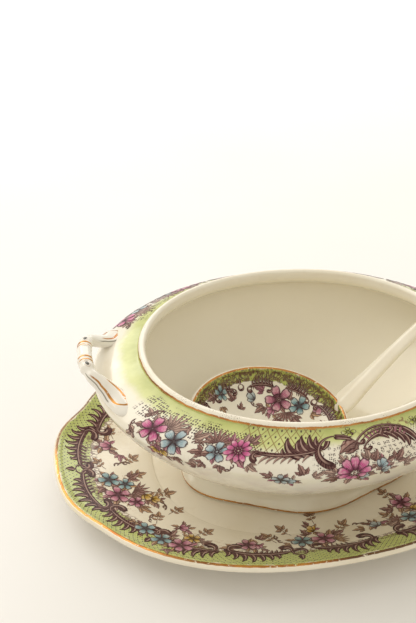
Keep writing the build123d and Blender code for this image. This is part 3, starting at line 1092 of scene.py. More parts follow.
def tureen_glaze():
    recipe = Recipe("tureen_glaze")
    u, v = recipe.uv("Edge")
    ground = Ground(recipe)
    flat = recipe.joined(u, v)
    panel = (u / PANEL).part() * PANEL
    drift = recipe.noise(flat, 0.06, 2.0) - 0.5
    edge = recipe.noise(flat, 0.35, 2.0) - 0.5
    outside = v.rise(-2.1, -1.7)
    lattice = panel.near(138.0, 22.0, 5.0)
    reach = v + drift * 6.0 + edge * 2.0 - lattice * 4.0
    band = reach.rise(12.5, 5.0) * outside
    deep = (v + edge * 2.0).rise(6.0, 0.5)
    patch = recipe.noise(flat, 0.12, 3.0).rise(0.35, 0.65)
    green = recipe.mix(deep * 0.45 + patch * 0.3, PALE_GREEN, LEAF_GREEN)
    ground.lay(band * 0.88, green)
    # painted light: the inside of the bowl is laid paler and creamier than the outside, partly its own
    # tone and partly painted light falling into it
    ground.lay((0.0 - v).rise(7.0, 14.0) * 0.75, INSIDE_CREAM_AND_LIGHT)
    # crossed lines with a dot in each cell
    one, two = net(u, v, 6.2, 8.6)
    lines = abs(one).least(abs(two)).rise(0.075, 0.030)
    far_one, far_two = 0.5 - abs(one), 0.5 - abs(two)
    dots = (far_one * far_one + far_two * far_two).rise(0.024, 0.010)
    down = v.near(6.2, 8.0, 1.2)
    ground.lay(lines * lattice * down * 0.80, NET_BROWN)
    ground.lay(dots * lattice * down * 0.9, INK)
    # scattered printed dots on the green beside the lattice
    scatter = panel.near(72.0, 25.0, 5.0).most(panel.near(280.0, 17.0, 5.0))
    clusters = recipe.cells(flat, 0.21, jitter=0.5, flat=True).rise(0.52, 0.46)
    dot = recipe.cells(flat, 0.62, jitter=0.30, flat=True).rise(0.40, 0.31)
    fall = (v + drift * 5.0).near(9.0, 6.0, 1.5)
    ground.lay(dot * clusters * fall * scatter * 0.95, INK)
    # fine stipple between the two flower groups
    stipple = panel.near(108.0, 15.0, 7.0).most(panel.near(238.0, 15.0, 7.0))
    fine_one, fine_two = net(u, v, 1.9, 2.4)
    fine = (fine_one * fine_one + fine_two * fine_two).rise(0.110, 0.060)
    low = (v - panel.near(112.0, 10.0, 12.0) * 1.5 + edge * 3.0).near(9.0, 5.4, 1.5)
    ground.lay(fine * stipple * low * 0.95, INK)
    # small threes of dots under the crest
    field = panel.near(188.0, 27.0, 6.0) * (v + edge * 3.0).near(19.0, 7.0, 3.0)
    threes = recipe.cells(flat, 0.34, jitter=0.55, flat=True).rise(0.37, 0.33)
    small = recipe.cells(flat, 0.98, jitter=0.40, flat=True).rise(0.44, 0.35)
    ground.lay(threes * small * field * 0.9, INK)
    # brown blotches over the green right of the crest
    blotch = recipe.noise(flat, 0.30, 3.0, 0.6).rise(0.50, 0.58)
    hatch = ((u + v * 0.6) * 1.3).part().rise(0.25, 0.55)
    over = panel.near(205.0, 16.0, 5.0) * v.near(3.0, 2.0, 1.2)
    ground.lay(blotch * over * (0.55 + hatch * 0.35), BLOTCH_BROWN)
    # the gilt line at the foot of the lip, and loose printed dots on the lip
    wander = recipe.noise(flat, 0.22, 2.0) - 0.5
    stray = recipe.noise(flat, 0.05, 1.0).rise(0.56, 0.62) * (0.0 - v).near(3.8, 1.0, 0.3)
    loose = recipe.cells(flat, 0.9, jitter=0.9, flat=True).rise(0.20, 0.13)
    ground.lay(stray * loose * 0.8, INK)
    line = (v + wander * 1.1).near(-1.9, 0.50, 0.18)
    thick = recipe.noise(flat, 0.11, 1.0).rise(0.55, 0.7)
    return ground.finish(gilt=line.most((v + wander * 0.6).near(-1.6, 0.75, 0.2) * thick))


def foot_glaze():
    recipe = Recipe("foot_glaze")
    u, v = recipe.uv("Edge")
    ground = Ground(recipe, FOOT_IVORY)
    flat = recipe.joined(u, v)
    wander = recipe.noise(flat, 0.2, 2.0) - 0.5
    red = recipe.cells(recipe.place(), 26.0).rise(0.075, 0.055)
    few = recipe.noise(recipe.place(), 30.0, 1.0).rise(0.60, 0.64)
    ground.lay(red * few * 0.8, RED_SPECK)
    line = (v + wander * 0.8).near(0.0, 0.55, 0.2)
    return ground.finish(gilt=line, wear=0.2)


def stand_glaze():
    recipe = Recipe("stand_glaze")
    u, v = recipe.uv("Edge")
    ground = Ground(recipe, STAND_IVORY)
    flat = recipe.joined(u, v)
    edge = recipe.noise(flat, 0.15, 2.0) - 0.5
    inset = 0.0 - v
    border = (inset + edge * 5.0).near(5.6, 8.4, 0.6)
    patch = recipe.noise(flat, 0.10, 3.0).rise(0.35, 0.65)
    ground.lay(border * 0.94, recipe.mix(patch * 0.5, *BORDER_GREENS))
    one, two = net(u, inset, 3.3, 3.3)
    rings = (one * one + two * two) ** 0.5
    cross = abs(one).least(abs(two)).rise(0.11, 0.04)
    ground.lay(rings.rise(0.44, 0.34) * border * 0.50, RING_GREEN)
    ground.lay(cross * rings.rise(0.30, 0.40) * border * 0.55, CROSS_BROWN)
    ground.lay(rings.rise(0.24, 0.15) * border * 0.95, NET_DOT)
    # brown lace between the border's scrolls
    lace = recipe.cells(flat, 0.34, "DISTANCE_TO_EDGE", 1.0, True).rise(0.13, 0.06)
    blot = recipe.noise(flat, 0.30, 3.0, 0.6).rise(0.50, 0.58)
    between = (inset + edge * 4.0).near(14.2, 2.6, 1.2)
    ground.lay(lace.most(blot) * between * 0.75, LACE_BROWN)
    # small threes of dots along the inner side of the border
    field = (inset + edge * 6.0).near(21.0, 5.5, 4.0) * recipe.noise(flat, 0.03, 1.0).rise(0.46, 0.56)
    threes = recipe.cells(flat, 0.28, jitter=0.35, flat=True).rise(0.34, 0.27)
    small = recipe.cells(flat, 1.05, jitter=0.25, flat=True).rise(0.38, 0.28)
    ground.lay(threes * small * field * 0.8, TAN_WASH)
    wander = recipe.noise(flat, 0.2, 2.0) - 0.5
    line = (inset + wander * 0.8).near(-3.7, 0.65, 0.2)
    return ground.finish(gilt=line)


def ladle_glaze():
    recipe = Recipe("ladle_glaze")
    u, v = recipe.uv("Edge")
    ground = Ground(recipe)
    flat = recipe.joined(u, v)
    inset = 0.0 - v
    edge = recipe.noise(flat, 0.16, 2.0) - 0.5
    border = (inset + edge * 4.0).near(3.4, 4.2, 0.7)
    mottle = recipe.noise(recipe.joined(u * 2.2, v), 0.35, 3.0)
    ground.lay(border * 0.92, recipe.mix(mottle.rise(0.46, 0.58), *MOTTLE_GREENS))
    curls = recipe.cells(flat, 0.16, "DISTANCE_TO_EDGE", 1.0, True).near(0.10, 0.05, 0.03)
    brown = recipe.noise(flat, 0.28, 2.0).rise(0.50, 0.56).most(curls)
    ground.lay(brown * (inset + edge * 4.0).near(4.4, 3.4, 0.8) * 0.85, CURL_BROWN)
    line = (inset + edge * 0.5).near(-1.6, 0.55, 0.20)
    return ground.finish(gilt=line)


def plain_glaze(name):
    return Ground(Recipe(name)).finish()


def handle_glaze():
    recipe = Recipe("handle_glaze")
    ground = Ground(recipe, HANDLE_IVORY)
    split = recipe.node("ShaderNodeSeparateXYZ", None, {0: recipe.place()})
    y = abs(recipe.number(split.outputs[1])) * 1000.0
    girth = recipe.uv("Edge")[1] / 1000.0
    wander = recipe.noise(recipe.place(), 150.0, 2.0) - 0.5
    gilt = y.near(8.4, 0.55, 0.2) * (1.0 - girth.near(0.75, 0.12, 0.05))
    gilt = gilt.most(y.near(5.6, 0.42, 0.2) * girth.near(0.25, 0.16, 0.04))
    # the looped gilt line on each leaf end
    across = (girth - 0.25) * 27.0 + wander * 0.5
    past = (y - 33.6).most(0.0)
    loop = (across * across + past * past) ** 0.5
    gilt = gilt.most(loop.near(2.7, 0.42, 0.16) * y.rise(19.0, 21.5) * girth.near(0.25, 0.24, 0.01))
    # painted shade and dark reflection: a dark line along the inner edge of each leaf end, where the
    # gilt edge turns from the light
    inner = (across + 4.6).near(0.0, 0.3, 0.15).most((across - 4.6).near(0.0, 0.3, 0.15))
    ground.lay(inner * y.near(25.0, 7.0, 1.5) * 0.75, HANDLE_EDGE_SHADE)
    # painted shade: the dark hollow eye of the volute at each end of the grip, with a softer brown rim
    # round it
    eye = ((y - 12.2) / 1.6) ** 2.0 + ((girth - 0.25) * 25.0) ** 2.0
    ground.lay(eye.rise(1.25, 0.75) * 0.95, VOLUTE_EYE_SHADE)
    ground.lay(eye.near(2.2, 0.35, 0.5) * 0.35, VOLUTE_EYE_SHADE_RIM)
    return ground.finish(gilt=gilt)


# ---------------------------------------------------------------- enamels

ENAMEL_SPECULAR = 0.2
ENAMEL_ROUGHNESS = 0.15
PETAL_PALE = (0.86, 0.78, 0.72)
LEAF_PALE = (0.62, 0.46, 0.38)


class Enamel(Recipe):
    """A printed colour: places along and across a blade, its tint and an uneven wash."""

    def __init__(self, name, grain):
        super().__init__(name)
        self.along, self.across = self.attribute("along"), self.attribute("across")
        self.tint = self.attribute("tint", vector=True)
        self.wash = self.noise(self.place(), grain, 2.0)

    def fired(self, colour):
        return self.finish(Base_Color=colour, Roughness=ENAMEL_ROUGHNESS + self.wash * 0.08,
                           Specular_IOR_Level=ENAMEL_SPECULAR)


def petal_enamel():
    """A washed petal: dark at its root and round its edge, veined, pale near its tip."""
    recipe = Enamel("petal_enamel", 650.0)
    along, across = recipe.along, recipe.across
    pale = along.rise(0.50, 1.0) * 0.30 + recipe.wash.rise(0.45, 0.72) * 0.30
    colour = recipe.mix(pale, recipe.tint, PETAL_PALE)
    vein = abs((across * 2.6).part() - 0.5).rise(0.22, 0.05) * along.rise(0.84, 0.34)
    colour = recipe.mix(vein * 0.62, colour, INK)
    root = along + abs(across) * -0.12
    colour = recipe.mix(root.rise(0.50, 0.10) * 0.82, colour, INK)
    rim = abs(across).rise(0.66, 0.86).most(along.rise(0.87, 0.94))
    return recipe.fired(recipe.mix(rim * 0.86, colour, INK))


def leaf_enamel():
    """A printed leaf: one side of the midrib hatched darker, inked edge and midrib."""
    recipe = Enamel("leaf_enamel", 500.0)
    along, across = recipe.along, recipe.across
    colour = recipe.mix(recipe.wash.rise(0.30, 0.70) * 0.42, recipe.tint, LEAF_PALE)
    shade = across.rise(-0.15, 0.10)
    hatch = abs((along * 7.0 + abs(across) * 2.4).part() - 0.5).rise(0.28, 0.10)
    colour = recipe.mix(shade * 0.30 + hatch * shade * 0.40, colour, INK)
    colour = recipe.mix(along.rise(0.40, 0.05) * 0.45, colour, INK)
    rib = abs(across).rise(0.16, 0.05) * along.rise(0.92, 0.80)
    rim = abs(across).rise(0.66, 0.88).most(along.rise(0.90, 0.97))
    return recipe.fired(recipe.mix(rib.most(rim) * 0.85, colour, INK))


def scroll_enamel():
    """A solid printed scroll with a paler streak along it."""
    recipe = Enamel("scroll_enamel", 420.0)
    along, across = recipe.along, recipe.across
    streak = across.near(0.30, 0.14, 0.16) * along.near(0.42, 0.30, 0.22)
    engraved = abs((along * 22.0 + across).part() - 0.5).rise(0.30, 0.12) * across.rise(0.1, -0.4)
    colour = recipe.mix(recipe.wash.rise(0.40, 0.75) * 0.30, INK, recipe.tint)
    colour = recipe.mix(engraved * 0.35, colour, recipe.tint)
    return recipe.fired(recipe.mix(streak * 0.75, colour, PALE_WASH))


# ---------------------------------------------------------------- where the motifs stand

# on the tureen: mm round the belly, mm below the foot of the lip, turn, size, tint
FRONT_FLOWERS = {
    "blossom": [(412.0, 18.0, 8, 7.6, PINK), (427.3, 19.4, -14, 7.4, BLUE), (452.0, 18.2, 4, 6.3, BLUE)],
    "daisy": [(462.6, 15.4, 6, 7.3, PINK)],
    "bud": [(419.0, 28.6, 150, 4.6, YELLOW), (424.6, 28.2, 205, 4.4, YELLOW)],
    "eye": [(412.0, 18.0, 0, 4.2, INK), (427.3, 19.4, 20, 4.4, INK),
            (452.0, 18.2, 0, 7.0, GREY_BLUE), (462.6, 15.4, 0, 7.4, PALE_WASH)],
    "leaf": [(404.0, 24.0, 120, 8.0, PALE_WASH), (436.0, 14.5, -52, 9.0, PALE_WASH),
             (431.0, 27.5, 205, 7.0, PLUM_WASH), (405.0, 12.5, 60, 6.5, PALE_WASH),
             (420.0, 24.0, 178, 7.5, MAUVE), (440.0, 26.0, 235, 5.0, PALE_WASH),
             (445.0, 20.0, 100, 7.5, PLUM_WASH), (456.5, 25.0, 172, 7.0, PLUM_WASH),
             (447.5, 25.5, 140, 6.5, PLUM_WASH), (470.0, 17.0, -84, 6.5, PLUM_WASH),
             (467.5, 10.0, -32, 7.0, PLUM_WASH), (470.0, 22.5, -128, 6.5, PALE_WASH),
             (457.0, 11.0, 5, 6.0, MAUVE), (443.0, 31.0, 70, 6.0, PLUM_WASH)],
    "plume": [(420.0, 14.5, -22, 11.0, PALE_WASH), (449.5, 13.5, 16, 9.5, PLUM_WASH)],
    "tendril": [(403.5, 13.5, 12, 8.5, PLUM_WASH), (401.5, 23.5, 75, 6.5, PLUM_WASH),
                (462.0, 24.5, 190, 6.0, PLUM_WASH), (438.0, 17.0, -40, 6.0, PLUM_WASH)],
}
FRONT_MIDDLE = {
    "half_flower": [(525.5, 28.5, 0, 9.4, PINK)],
    "eye": [(525.5, 28.5, 0, 9.0, PALE_WASH)],
    "blossom": [(487.5, 31.6, 0, 4.8, GREY_BLUE), (578.0, 17.0, 10, 6.6, PINK)],
    "bud": [(540.5, 24.5, -28, 5.2, BLUE), (532.0, 33.0, -100, 5.0, GREY_BLUE),
            (493.0, 33.0, -80, 4.4, BLUE), (543.0, 29.5, -70, 5.0, GREY_BLUE)],
    "leaf": [(499.5, 27.5, 22, 7.6, PLUM_WASH), (504.0, 29.5, -62, 7.0, PALE_WASH),
             (483.0, 29.5, 60, 6.5, PLUM_WASH), (516.0, 27.5, 70, 8.0, PALE_WASH),
             (517.0, 31.5, 105, 8.5, PLUM_WASH), (533.5, 21.0, -6, 7.6, PALE_WASH),
             (536.5, 23.0, -30, 7.4, PLUM_WASH), (548.0, 25.0, -50, 8.5, PLUM_WASH),
             (553.0, 29.0, -75, 8.0, PALE_WASH), (520.5, 21.5, 20, 6.0, PALE_WASH),
             (566.0, 22.0, -30, 7.0, PLUM_WASH), (563.0, 29.0, -95, 6.5, PALE_WASH),
             (572.0, 24.0, 175, 6.0, PLUM_WASH), (586.0, 12.0, -40, 7.0, PLUM_WASH)],
    "acanthus": [(471.5, 18.2, 0, 1.0, PLUM_WASH)],
    "acanthus_teeth": [(471.5, 18.2, 0, 1.0, PALE_WASH)],
    "hook": [(504.5, 12.0, 0, 1.0, PLUM_WASH)],
    "hook_leaf": [(504.5, 12.0, 0, 1.0, PLUM_WASH)],
    "crest": [(528.5, 10.6, 0, 1.0, PLUM_WASH)],
    "crest_bars": [(528.5, 10.6, 0, 1.0, MAUVE)],
    "cartouche": [(526.6, 2.4, 0, 3.4, CARTOUCHE_GREEN), (572.0, 5.0, 20, 3.4, CARTOUCHE_GREEN)],
}
# mm round the belly: the middle of the front panel, and how far the turned group is moved on
FRONT_CENTRE = 520.0
FAR_END_SHIFT = 12.0

# on the stand, seen from above before it is turned: mm right, mm back, turn, size, tint
STAND_END = {
    "bud": [(-117.0, 22.0, 75, 7.0, FADED_PINK), (-99.0, -25.0, 200, 5.6, YELLOW),
            (-83.0, -55.0, -100, 5.0, FADED_PINK), (-94.0, -27.5, 250, 5.2, YELLOW)],
    "blossom": [(-119.0, -9.0, 20, 6.6, FADED_BLUE), (-110.0, -13.0, 60, 5.2, FADED_BLUE),
                (-115.5, -22.5, 0, 7.4, FADED_PINK), (-106.0, -29.5, 40, 5.0, FADED_PINK),
                (-105.0, -55.0, 0, 6.0, FADED_BLUE), (-98.0, -65.5, 20, 6.0, FADED_BLUE),
                (-88.5, -72.5, 10, 7.0, FADED_PINK), (-80.5, -66.0, 0, 5.0, YELLOW)],
    "ivy": [(-103.0, 10.0, -60, 9.0, TAN_WASH), (-102.0, -4.0, -84, 9.0, TAN_WASH),
            (-88.0, -21.0, -95, 10.0, TAN_WASH), (-123.0, 6.0, 30, 8.0, TAN_WASH),
            (-96.0, -44.0, -20, 8.0, TAN_WASH), (-112.0, 34.0, 5, 8.0, TAN_WASH),
            (-84.0, -38.0, -60, 8.0, TAN_WASH), (-72.0, -60.0, -70, 8.5, TAN_WASH)],
    "leaf": [(-109.0, 14.0, 170, 7.0, MAUVE), (-107.0, -8.0, -60, 9.0, PLUM_WASH),
             (-122.0, -16.0, 130, 7.5, PLUM_WASH), (-108.0, -24.0, -95, 10.0, PLUM_WASH),
             (-104.0, -34.0, -140, 8.0, TAN_WASH), (-118.0, -31.0, 170, 7.0, PALE_WASH),
             (-110.0, -50.0, 60, 7.0, TAN_WASH), (-93.0, -62.0, -50, 8.0, PLUM_WASH),
             (-97.0, -75.0, 170, 6.5, PLUM_WASH), (-81.0, -76.0, -120, 7.5, TAN_WASH),
             (-77.0, -71.0, -80, 7.0, PALE_WASH)],
    "plume": [(-106.0, -19.0, -118, 11.0, PLUM_WASH), (-93.0, -70.0, 40, 8.0, TAN_WASH)],
    "tendril": [(-112.0, 4.0, -30, 9.0, TAN_WASH), (-92.0, -30.0, -120, 8.0, TAN_WASH),
                (-100.0, -47.0, 30, 7.0, TAN_WASH)],
}
STAND_SIDE = {
    "bud": [(24.0, -76.0, 10, 5.6, GREY_BLUE), (-47.0, -79.5, 160, 5.0, FADED_PINK),
            (52.0, -69.0, -60, 5.2, YELLOW), (-12.0, -68.5, 30, 4.8, YELLOW)],
    "blossom": [(-52.0, -76.5, 0, 6.0, MAUVE), (-21.0, -80.0, 15, 6.2, FADED_BLUE),
                (-8.5, -80.5, 0, 7.0, FADED_PINK), (47.0, -61.0, 0, 6.6, FADED_PINK),
                (45.0, -77.0, 25, 6.0, FADED_BLUE)],
    "ivy": [(-38.0, -71.0, 20, 9.0, TAN_WASH), (-9.0, -59.0, 0, 8.0, TAN_WASH),
            (6.0, -70.0, -50, 8.5, TAN_WASH), (35.0, -70.0, 40, 8.5, TAN_WASH),
            (-28.0, -66.0, 30, 8.0, TAN_WASH), (60.0, -62.0, -60, 8.5, TAN_WASH),
            (66.0, -74.0, -100, 8.5, TAN_WASH), (40.0, -52.0, 20, 8.0, TAN_WASH)],
    "leaf": [(-60.0, -78.0, 80, 8.0, TAN_WASH), (-15.0, -74.0, 20, 7.0, PLUM_WASH),
             (-2.0, -78.0, -70, 8.5, PLUM_WASH), (-28.0, -82.0, 90, 7.0, TAN_WASH),
             (17.0, -78.0, 80, 7.0, TAN_WASH), (30.0, -80.0, -80, 7.0, PALE_WASH),
             (40.0, -66.0, 60, 8.0, PLUM_WASH), (53.0, -77.0, -80, 8.0, PLUM_WASH),
             (-44.0, -72.0, -40, 6.5, PLUM_WASH)],
    "plume": [(-3.0, -84.0, -60, 8.0, TAN_WASH), (38.0, -78.0, 70, 8.0, PLUM_WASH)],
    "tendril": [(-32.0, -76.0, 60, 8.0, TAN_WASH), (14.0, -72.0, -60, 8.0, TAN_WASH),
                (57.0, -70.0, -50, 8.0, TAN_WASH)],
}

# marks of STAND_END beyond these are the corner group, which all four corners have
CORNER_X = -70.0
CORNER_Y = -42.0

# in the ladle, seen from above in its own frame
LADLE_MARKS = {
    "blossom": [(16.0, 24.0, 8, 8.6, FADED_PINK), (27.5, 17.0, 30, 6.4, FADED_BLUE),
                (-21.5, 29.5, 10, 4.4, FADED_BLUE)],
    "eye": [(16.0, 24.0, 0, 5.0, PALE_WASH)],
    "bud": [(-1.5, 28.0, 50, 5.4, GREY_BLUE), (38.0, 10.0, 160, 5.4, MAUVE),
            (9.0, 17.5, 120, 4.6, FADED_PINK)],
    "leaf": [(-13.0, 26.0, 30, 6.5, PLUM_WASH), (-27.0, 27.0, 120, 6.0, PLUM_WASH),
             (8.0, 31.0, 60, 7.0, MAUVE), (6.0, 21.0, 110, 8.0, PLUM_WASH),
             (22.0, 11.0, 200, 8.0, PLUM_WASH), (33.0, 10.0, -130, 7.0, TAN_WASH),
             (22.0, 22.5, -40, 6.0, PLUM_WASH), (29.0, 19.0, -60, 5.5, PALE_WASH),
             (-22.0, 22.0, 190, 5.5, TAN_WASH), (-10.0, 20.0, -20, 5.5, PLUM_WASH),
             (12.0, 12.0, 170, 7.0, PLUM_WASH)],
    "plume": [(18.0, 15.0, 175, 9.0, PLUM_WASH)],
    "tendril": [(-17.0, 30.0, -30, 6.0, PLUM_WASH), (2.0, 22.0, 100, 6.0, PLUM_WASH),
                (36.0, 2.0, 190, 6.0, TAN_WASH)],
}

# what draws each motif, its layer of print, its enamel
MOTIFS = {
    "frond": (motif_frond, 0, "leaf"),
    "plume": (motif_plume, 0, "leaf"),
    "ivy": (motif_ivy, 0, "leaf"),
    "leaf": (motif_leaf, 1, "leaf"),
    "acanthus_teeth": (motif_acanthus_teeth, 1, "leaf"),
    "hook_leaf": (motif_hook_leaf, 1, "leaf"),
    "crest_bars": (motif_crest_bars, 1, "leaf"),
    "tendril": (motif_tendril, 2, "scroll"),
    "acanthus": (motif_acanthus, 2, "scroll"),
    "crest": (motif_crest, 2, "scroll"),
    "hook": (motif_hook, 3, "scroll"),
    "cartouche": (motif_cartouche, 3, "petal"),
    "bud": (motif_bud, 4, "petal"),
    "half_flower": (motif_half_flower, 5, "petal"),
    "blossom": (motif_blossom, 5, "petal"),
    "daisy": (motif_daisy, 7, "petal"),
    "eye": (motif_eye, 9, "petal"),
}
BORDER_SCROLL_LAYER = 2
BORDER_CURL_LAYER = 3
# how much of the ladle's half size the fronds may fill
LADLE_KEEP = 0.58


def gather(*groups):
    """Joins groups of marks, motif by motif."""
    joined = {}
    for group in groups:
        for name, marks in group.items():
            joined.setdefault(name, []).extend(marks)
    return joined


def nested(group, count, tints):
    """A group with fronds added round every flower, so that its petals lie on leaves."""
    fronds = []
    for name in ("blossom", "daisy", "half_flower", "bud"):
        for x, y, turn, size, _ in group.get(name, []):
            for k in range(count):
                angle = 360.0 * k / count + 17.0 * turn + 11.0 * math.sin(3.7 * k + x)
                reach = size * (0.42 + 0.14 * math.sin(2.3 * k + y))
                root_x = x - reach * math.sin(math.radians(angle))
                root_y = y + reach * math.cos(math.radians(angle))
                leaning = angle + 14.0 * math.sin(5.1 * k + x)
                length = size * (0.92 + 0.22 * math.sin(1.9 * k + x))
                fronds.append((root_x, root_y, leaning, length, tints[k % len(tints)]))
    return gather(group, {"frond": fronds})


def shifted(group, change):
    """A group with every mark passed through change(x, y, turn) -> (x, y, turn)."""
    return {name: [(*change(*mark[:3]), *mark[3:]) for mark in marks] for name, marks in group.items()}


def half_turn(x, y, turn):
    return -x, -y, turn + 180


def facing(x, y, turn):
    return -x, y, -turn


def on_plan(x, y, turn):
    return x + PLAN_ZERO, y + PLAN_ZERO, turn


def tureen_marks():
    def far_end(x, y, turn):
        return 2 * FRONT_CENTRE - x + FAR_END_SHIFT, y, -turn

    def back(x, y, turn):
        return x - PANEL, y, turn

    def on_side(x, y, turn):
        return x, PRINT_ZERO - y, turn

    front = gather(FRONT_FLOWERS, FRONT_MIDDLE, shifted(FRONT_FLOWERS, far_end))
    both = shifted(gather(front, shifted(front, back)), on_side)
    return nested(both, 7, (PALE_WASH, PLUM_WASH, MAUVE, PALE_WASH, PLUM_WASH))


def stand_marks():
    seen = gather(STAND_END, STAND_SIDE)
    corner = {name: [mark for mark in marks if mark[0] < CORNER_X and mark[1] < CORNER_Y]
              for name, marks in STAND_END.items()}
    end = shifted(corner, facing)
    whole = shifted(gather(seen, shifted(seen, half_turn), end, shifted(end, half_turn)), on_plan)
    return nested(whole, 7, (PLUM_WASH, TAN_WASH, MAUVE, TAN_WASH, PLUM_WASH))


def ladle_marks():
    full = nested(shifted(LADLE_MARKS, on_plan), 8, (PLUM_WASH, PLUM_WASH, MAUVE, TAN_WASH))
    half_x, half_y = LADLE_HALF

    def inside(mark):
        return math.hypot((mark[0] - PLAN_ZERO) / half_x, (mark[1] - PLAN_ZERO) / half_y) < LADLE_KEEP

    full["frond"] = [mark for mark in full["frond"] if inside(mark)]
    return full


def border_marks(half, power, wave, count, inset, start, size):
    """Marks spaced round the inner side of an oval border, standing outwards."""
    marks = []
    for k in range(count):
        angle = math.radians(start + 360.0 * k / count)
        swell = 1.0 + float(wave(np.array([angle]))[0])
        x, y = math.cos(angle), math.sin(angle)
        x = math.copysign(abs(x) ** (2.0 / power), x) * (half[0] * swell - inset)
        y = math.copysign(abs(y) ** (2.0 / power), y) * (half[1] * swell - inset)
        outwards = math.degrees(math.atan2(y / half[1] ** 2, x / half[0] ** 2))
        marks.append((*on_plan(x, y, outwards - 90.0), size, PLUM_WASH))
    return marks


# ---------------------------------------------------------------- build the ware

tureen_bowl = make_tureen_bowl()
tureen_foot = make_tureen_foot()
stand = make_stand()
ladle_bowl = make_ladle_bowl()
ladle_handle = make_ladle_handle()
left_handle = make_handle(-1)
right_handle = make_handle(1)

dress(stand.object, stand_glaze(), "stand", "stand_glaze", "stand")
dress(tureen_bowl.object, tureen_glaze(), "tureen", "tureen_glaze", "tureen_bowl")
dress(tureen_foot.object, foot_glaze(), "tureen", "tureen_glaze", "tureen_foot")
both_handles_glaze = handle_glaze()
dress(left_handle, both_handles_glaze, "tureen", "handle_glaze", "left_handle")
dress(right_handle, both_handles_glaze, "tureen", "handle_glaze", "right_handle")
dress(ladle_bowl.object, ladle_glaze(), "ladle", "ladle_glaze", "ladle_bowl")
dress(ladle_handle, plain_glaze("ladle_handle_glaze"), "ladle", "ladle_glaze", "ladle_handle")

printer = Printer()
enamels = {"petal": petal_enamel(), "leaf": leaf_enamel(), "scroll": scroll_enamel()}
# ware, body, slot, marks
PRINTED = [(tureen_bowl, "tureen", "tureen_glaze", tureen_marks()),
           (stand, "stand", "stand_glaze", stand_marks()),
           (ladle_bowl, "ladle", "ladle_glaze", ladle_marks())]
for ware, body, slot, groups in PRINTED:
    for motif_name, marks in groups.items():
        make_motif, layer, enamel = MOTIFS[motif_name]
        printer.lay(ware, body, slot, make_motif(), marks, enamels[enamel], layer)

# ware, body, slot, half size, power, wave, number of scrolls, insets of scrolls and curls, size
BORDERS = [(stand, "stand", "stand_glaze", STAND_HALF, STAND_POWER, stand_wave,
            18, 16.2, 13.0, 1.12),
           (ladle_bowl, "ladle", "ladle_glaze", LADLE_HALF, OVAL_POWER, plain_wave,
            10, 8.8, 7.4, 0.52)]
BORDER_START = 10.0
for ware, body, slot, half, power, wave, count, inset, curl_inset, size in BORDERS:
    curl_start = BORDER_START + 180.0 / count
    scrolls = border_marks(half, power, wave, count, inset, BORDER_START, size)
    curls = border_marks(half, power, wave, count // 2, curl_inset, curl_start, size)
    for motif, marks, layer in ((motif_border_scroll(), scrolls[0::2], BORDER_SCROLL_LAYER),
                                (motif_border_scroll().mirrored(), scrolls[1::2], BORDER_SCROLL_LAYER),
                                (motif_border_curl(), curls, BORDER_CURL_LAYER)):
        printer.lay(ware, body, slot, motif, marks, enamels["scroll"], layer)

# ---------------------------------------------------------------- floor, light and camera


FLOOR_HALF = 14.0
FLOOR_WHITES = (0.86, 0.85, 0.845), (0.83, 0.82, 0.81)
FLOOR_ROUGHNESS = 0.7
SKY_COLOUR = (1.0, 0.945, 0.83, 1.0)
SKY_STRENGTH = 0.80
# name, place, target, size, power in watts, colour
LIGHTS = [("key", (-1.45, 1.20, 1.95), (0.0, 0.0, 0.05), (2.3, 2.3), 30.0, (1.0, 0.97, 0.92)),
          ("back_wash", (0.0, 1.5, 0.9), (0.0, 0.9, 0.0), (2.2, 0.8), 10.0, (1.0, 0.99, 0.98))]


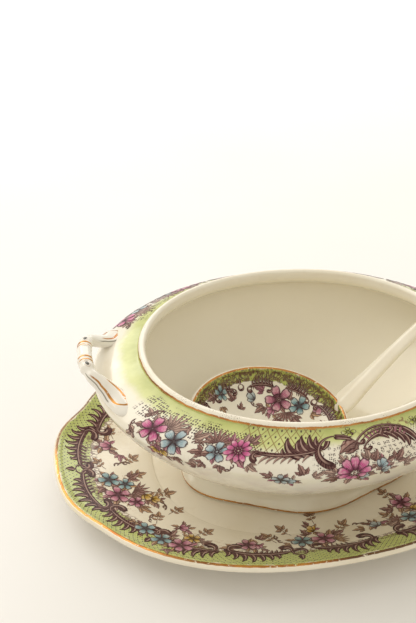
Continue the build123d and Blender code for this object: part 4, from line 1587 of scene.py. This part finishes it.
def make_floor():
    half = FLOOR_HALF
    mesh = bpy.data.meshes.new("floor")
    mesh.from_pydata([(-half, -half, 0), (half, -half, 0), (half, half, 0), (-half, half, 0)], [],
                     [(0, 1, 2, 3)])
    floor = linked("floor", mesh)
    recipe = Recipe("table_cloth_white")
    cloud = recipe.noise(recipe.place(), 3.0, 3.0)
    tone = recipe.mix(cloud.rise(0.3, 0.7), *FLOOR_WHITES)
    mesh.materials.append(recipe.finish(Base_Color=tone, Roughness=FLOOR_ROUGHNESS))


def soft_box(name, place, target, size, power, colour):
    light = bpy.data.lights.new(name, "AREA")
    light.shape = "RECTANGLE"
    light.size, light.size_y = size
    light.energy = power
    light.color = colour
    lamp = linked(name, light)
    aim = Vector(target) - Vector(place)
    lamp.location = place
    lamp.rotation_euler = aim.to_track_quat("-Z", "Y").to_euler()


def make_lights():
    world = bpy.data.worlds.new("studio")
    world.use_nodes = True
    sky = world.node_tree.nodes["Background"]
    sky.inputs["Color"].default_value = SKY_COLOUR
    sky.inputs["Strength"].default_value = SKY_STRENGTH
    bpy.context.scene.world = world
    bpy.context.scene.view_settings.view_transform = "Standard"
    for light in LIGHTS:
        soft_box(*light)


CAMERA_LENS = 52.0
CAMERA_SENSOR = 36.0
CAMERA_NEAREST = 0.01
# the camera looks along a line to the origin, and is moved sideways and up from it, in metres
CAMERA_ELEVATION = math.radians(33.0)
CAMERA_AZIMUTH = math.radians(-8.97)
CAMERA_DISTANCE = 0.57628
CAMERA_RIGHT = -0.05438
CAMERA_UP = 0.09175


def make_camera():
    back = Vector((math.sin(CAMERA_AZIMUTH) * math.cos(CAMERA_ELEVATION),
                   -math.cos(CAMERA_AZIMUTH) * math.cos(CAMERA_ELEVATION),
                   math.sin(CAMERA_ELEVATION)))
    right = Vector((math.cos(CAMERA_AZIMUTH), math.sin(CAMERA_AZIMUTH), 0.0))
    up = back.cross(right)
    data = bpy.data.cameras.new("camera")
    data.lens = CAMERA_LENS
    data.sensor_width = CAMERA_SENSOR
    data.clip_start = CAMERA_NEAREST
    camera = linked("camera", data)
    spot = back * CAMERA_DISTANCE + right * CAMERA_RIGHT + up * CAMERA_UP
    turn = Matrix((right, up, back)).transposed().to_4x4()
    camera.matrix_world = Matrix.Translation(spot) @ turn
    bpy.context.scene.camera = camera


make_floor()
make_lights()
make_camera()
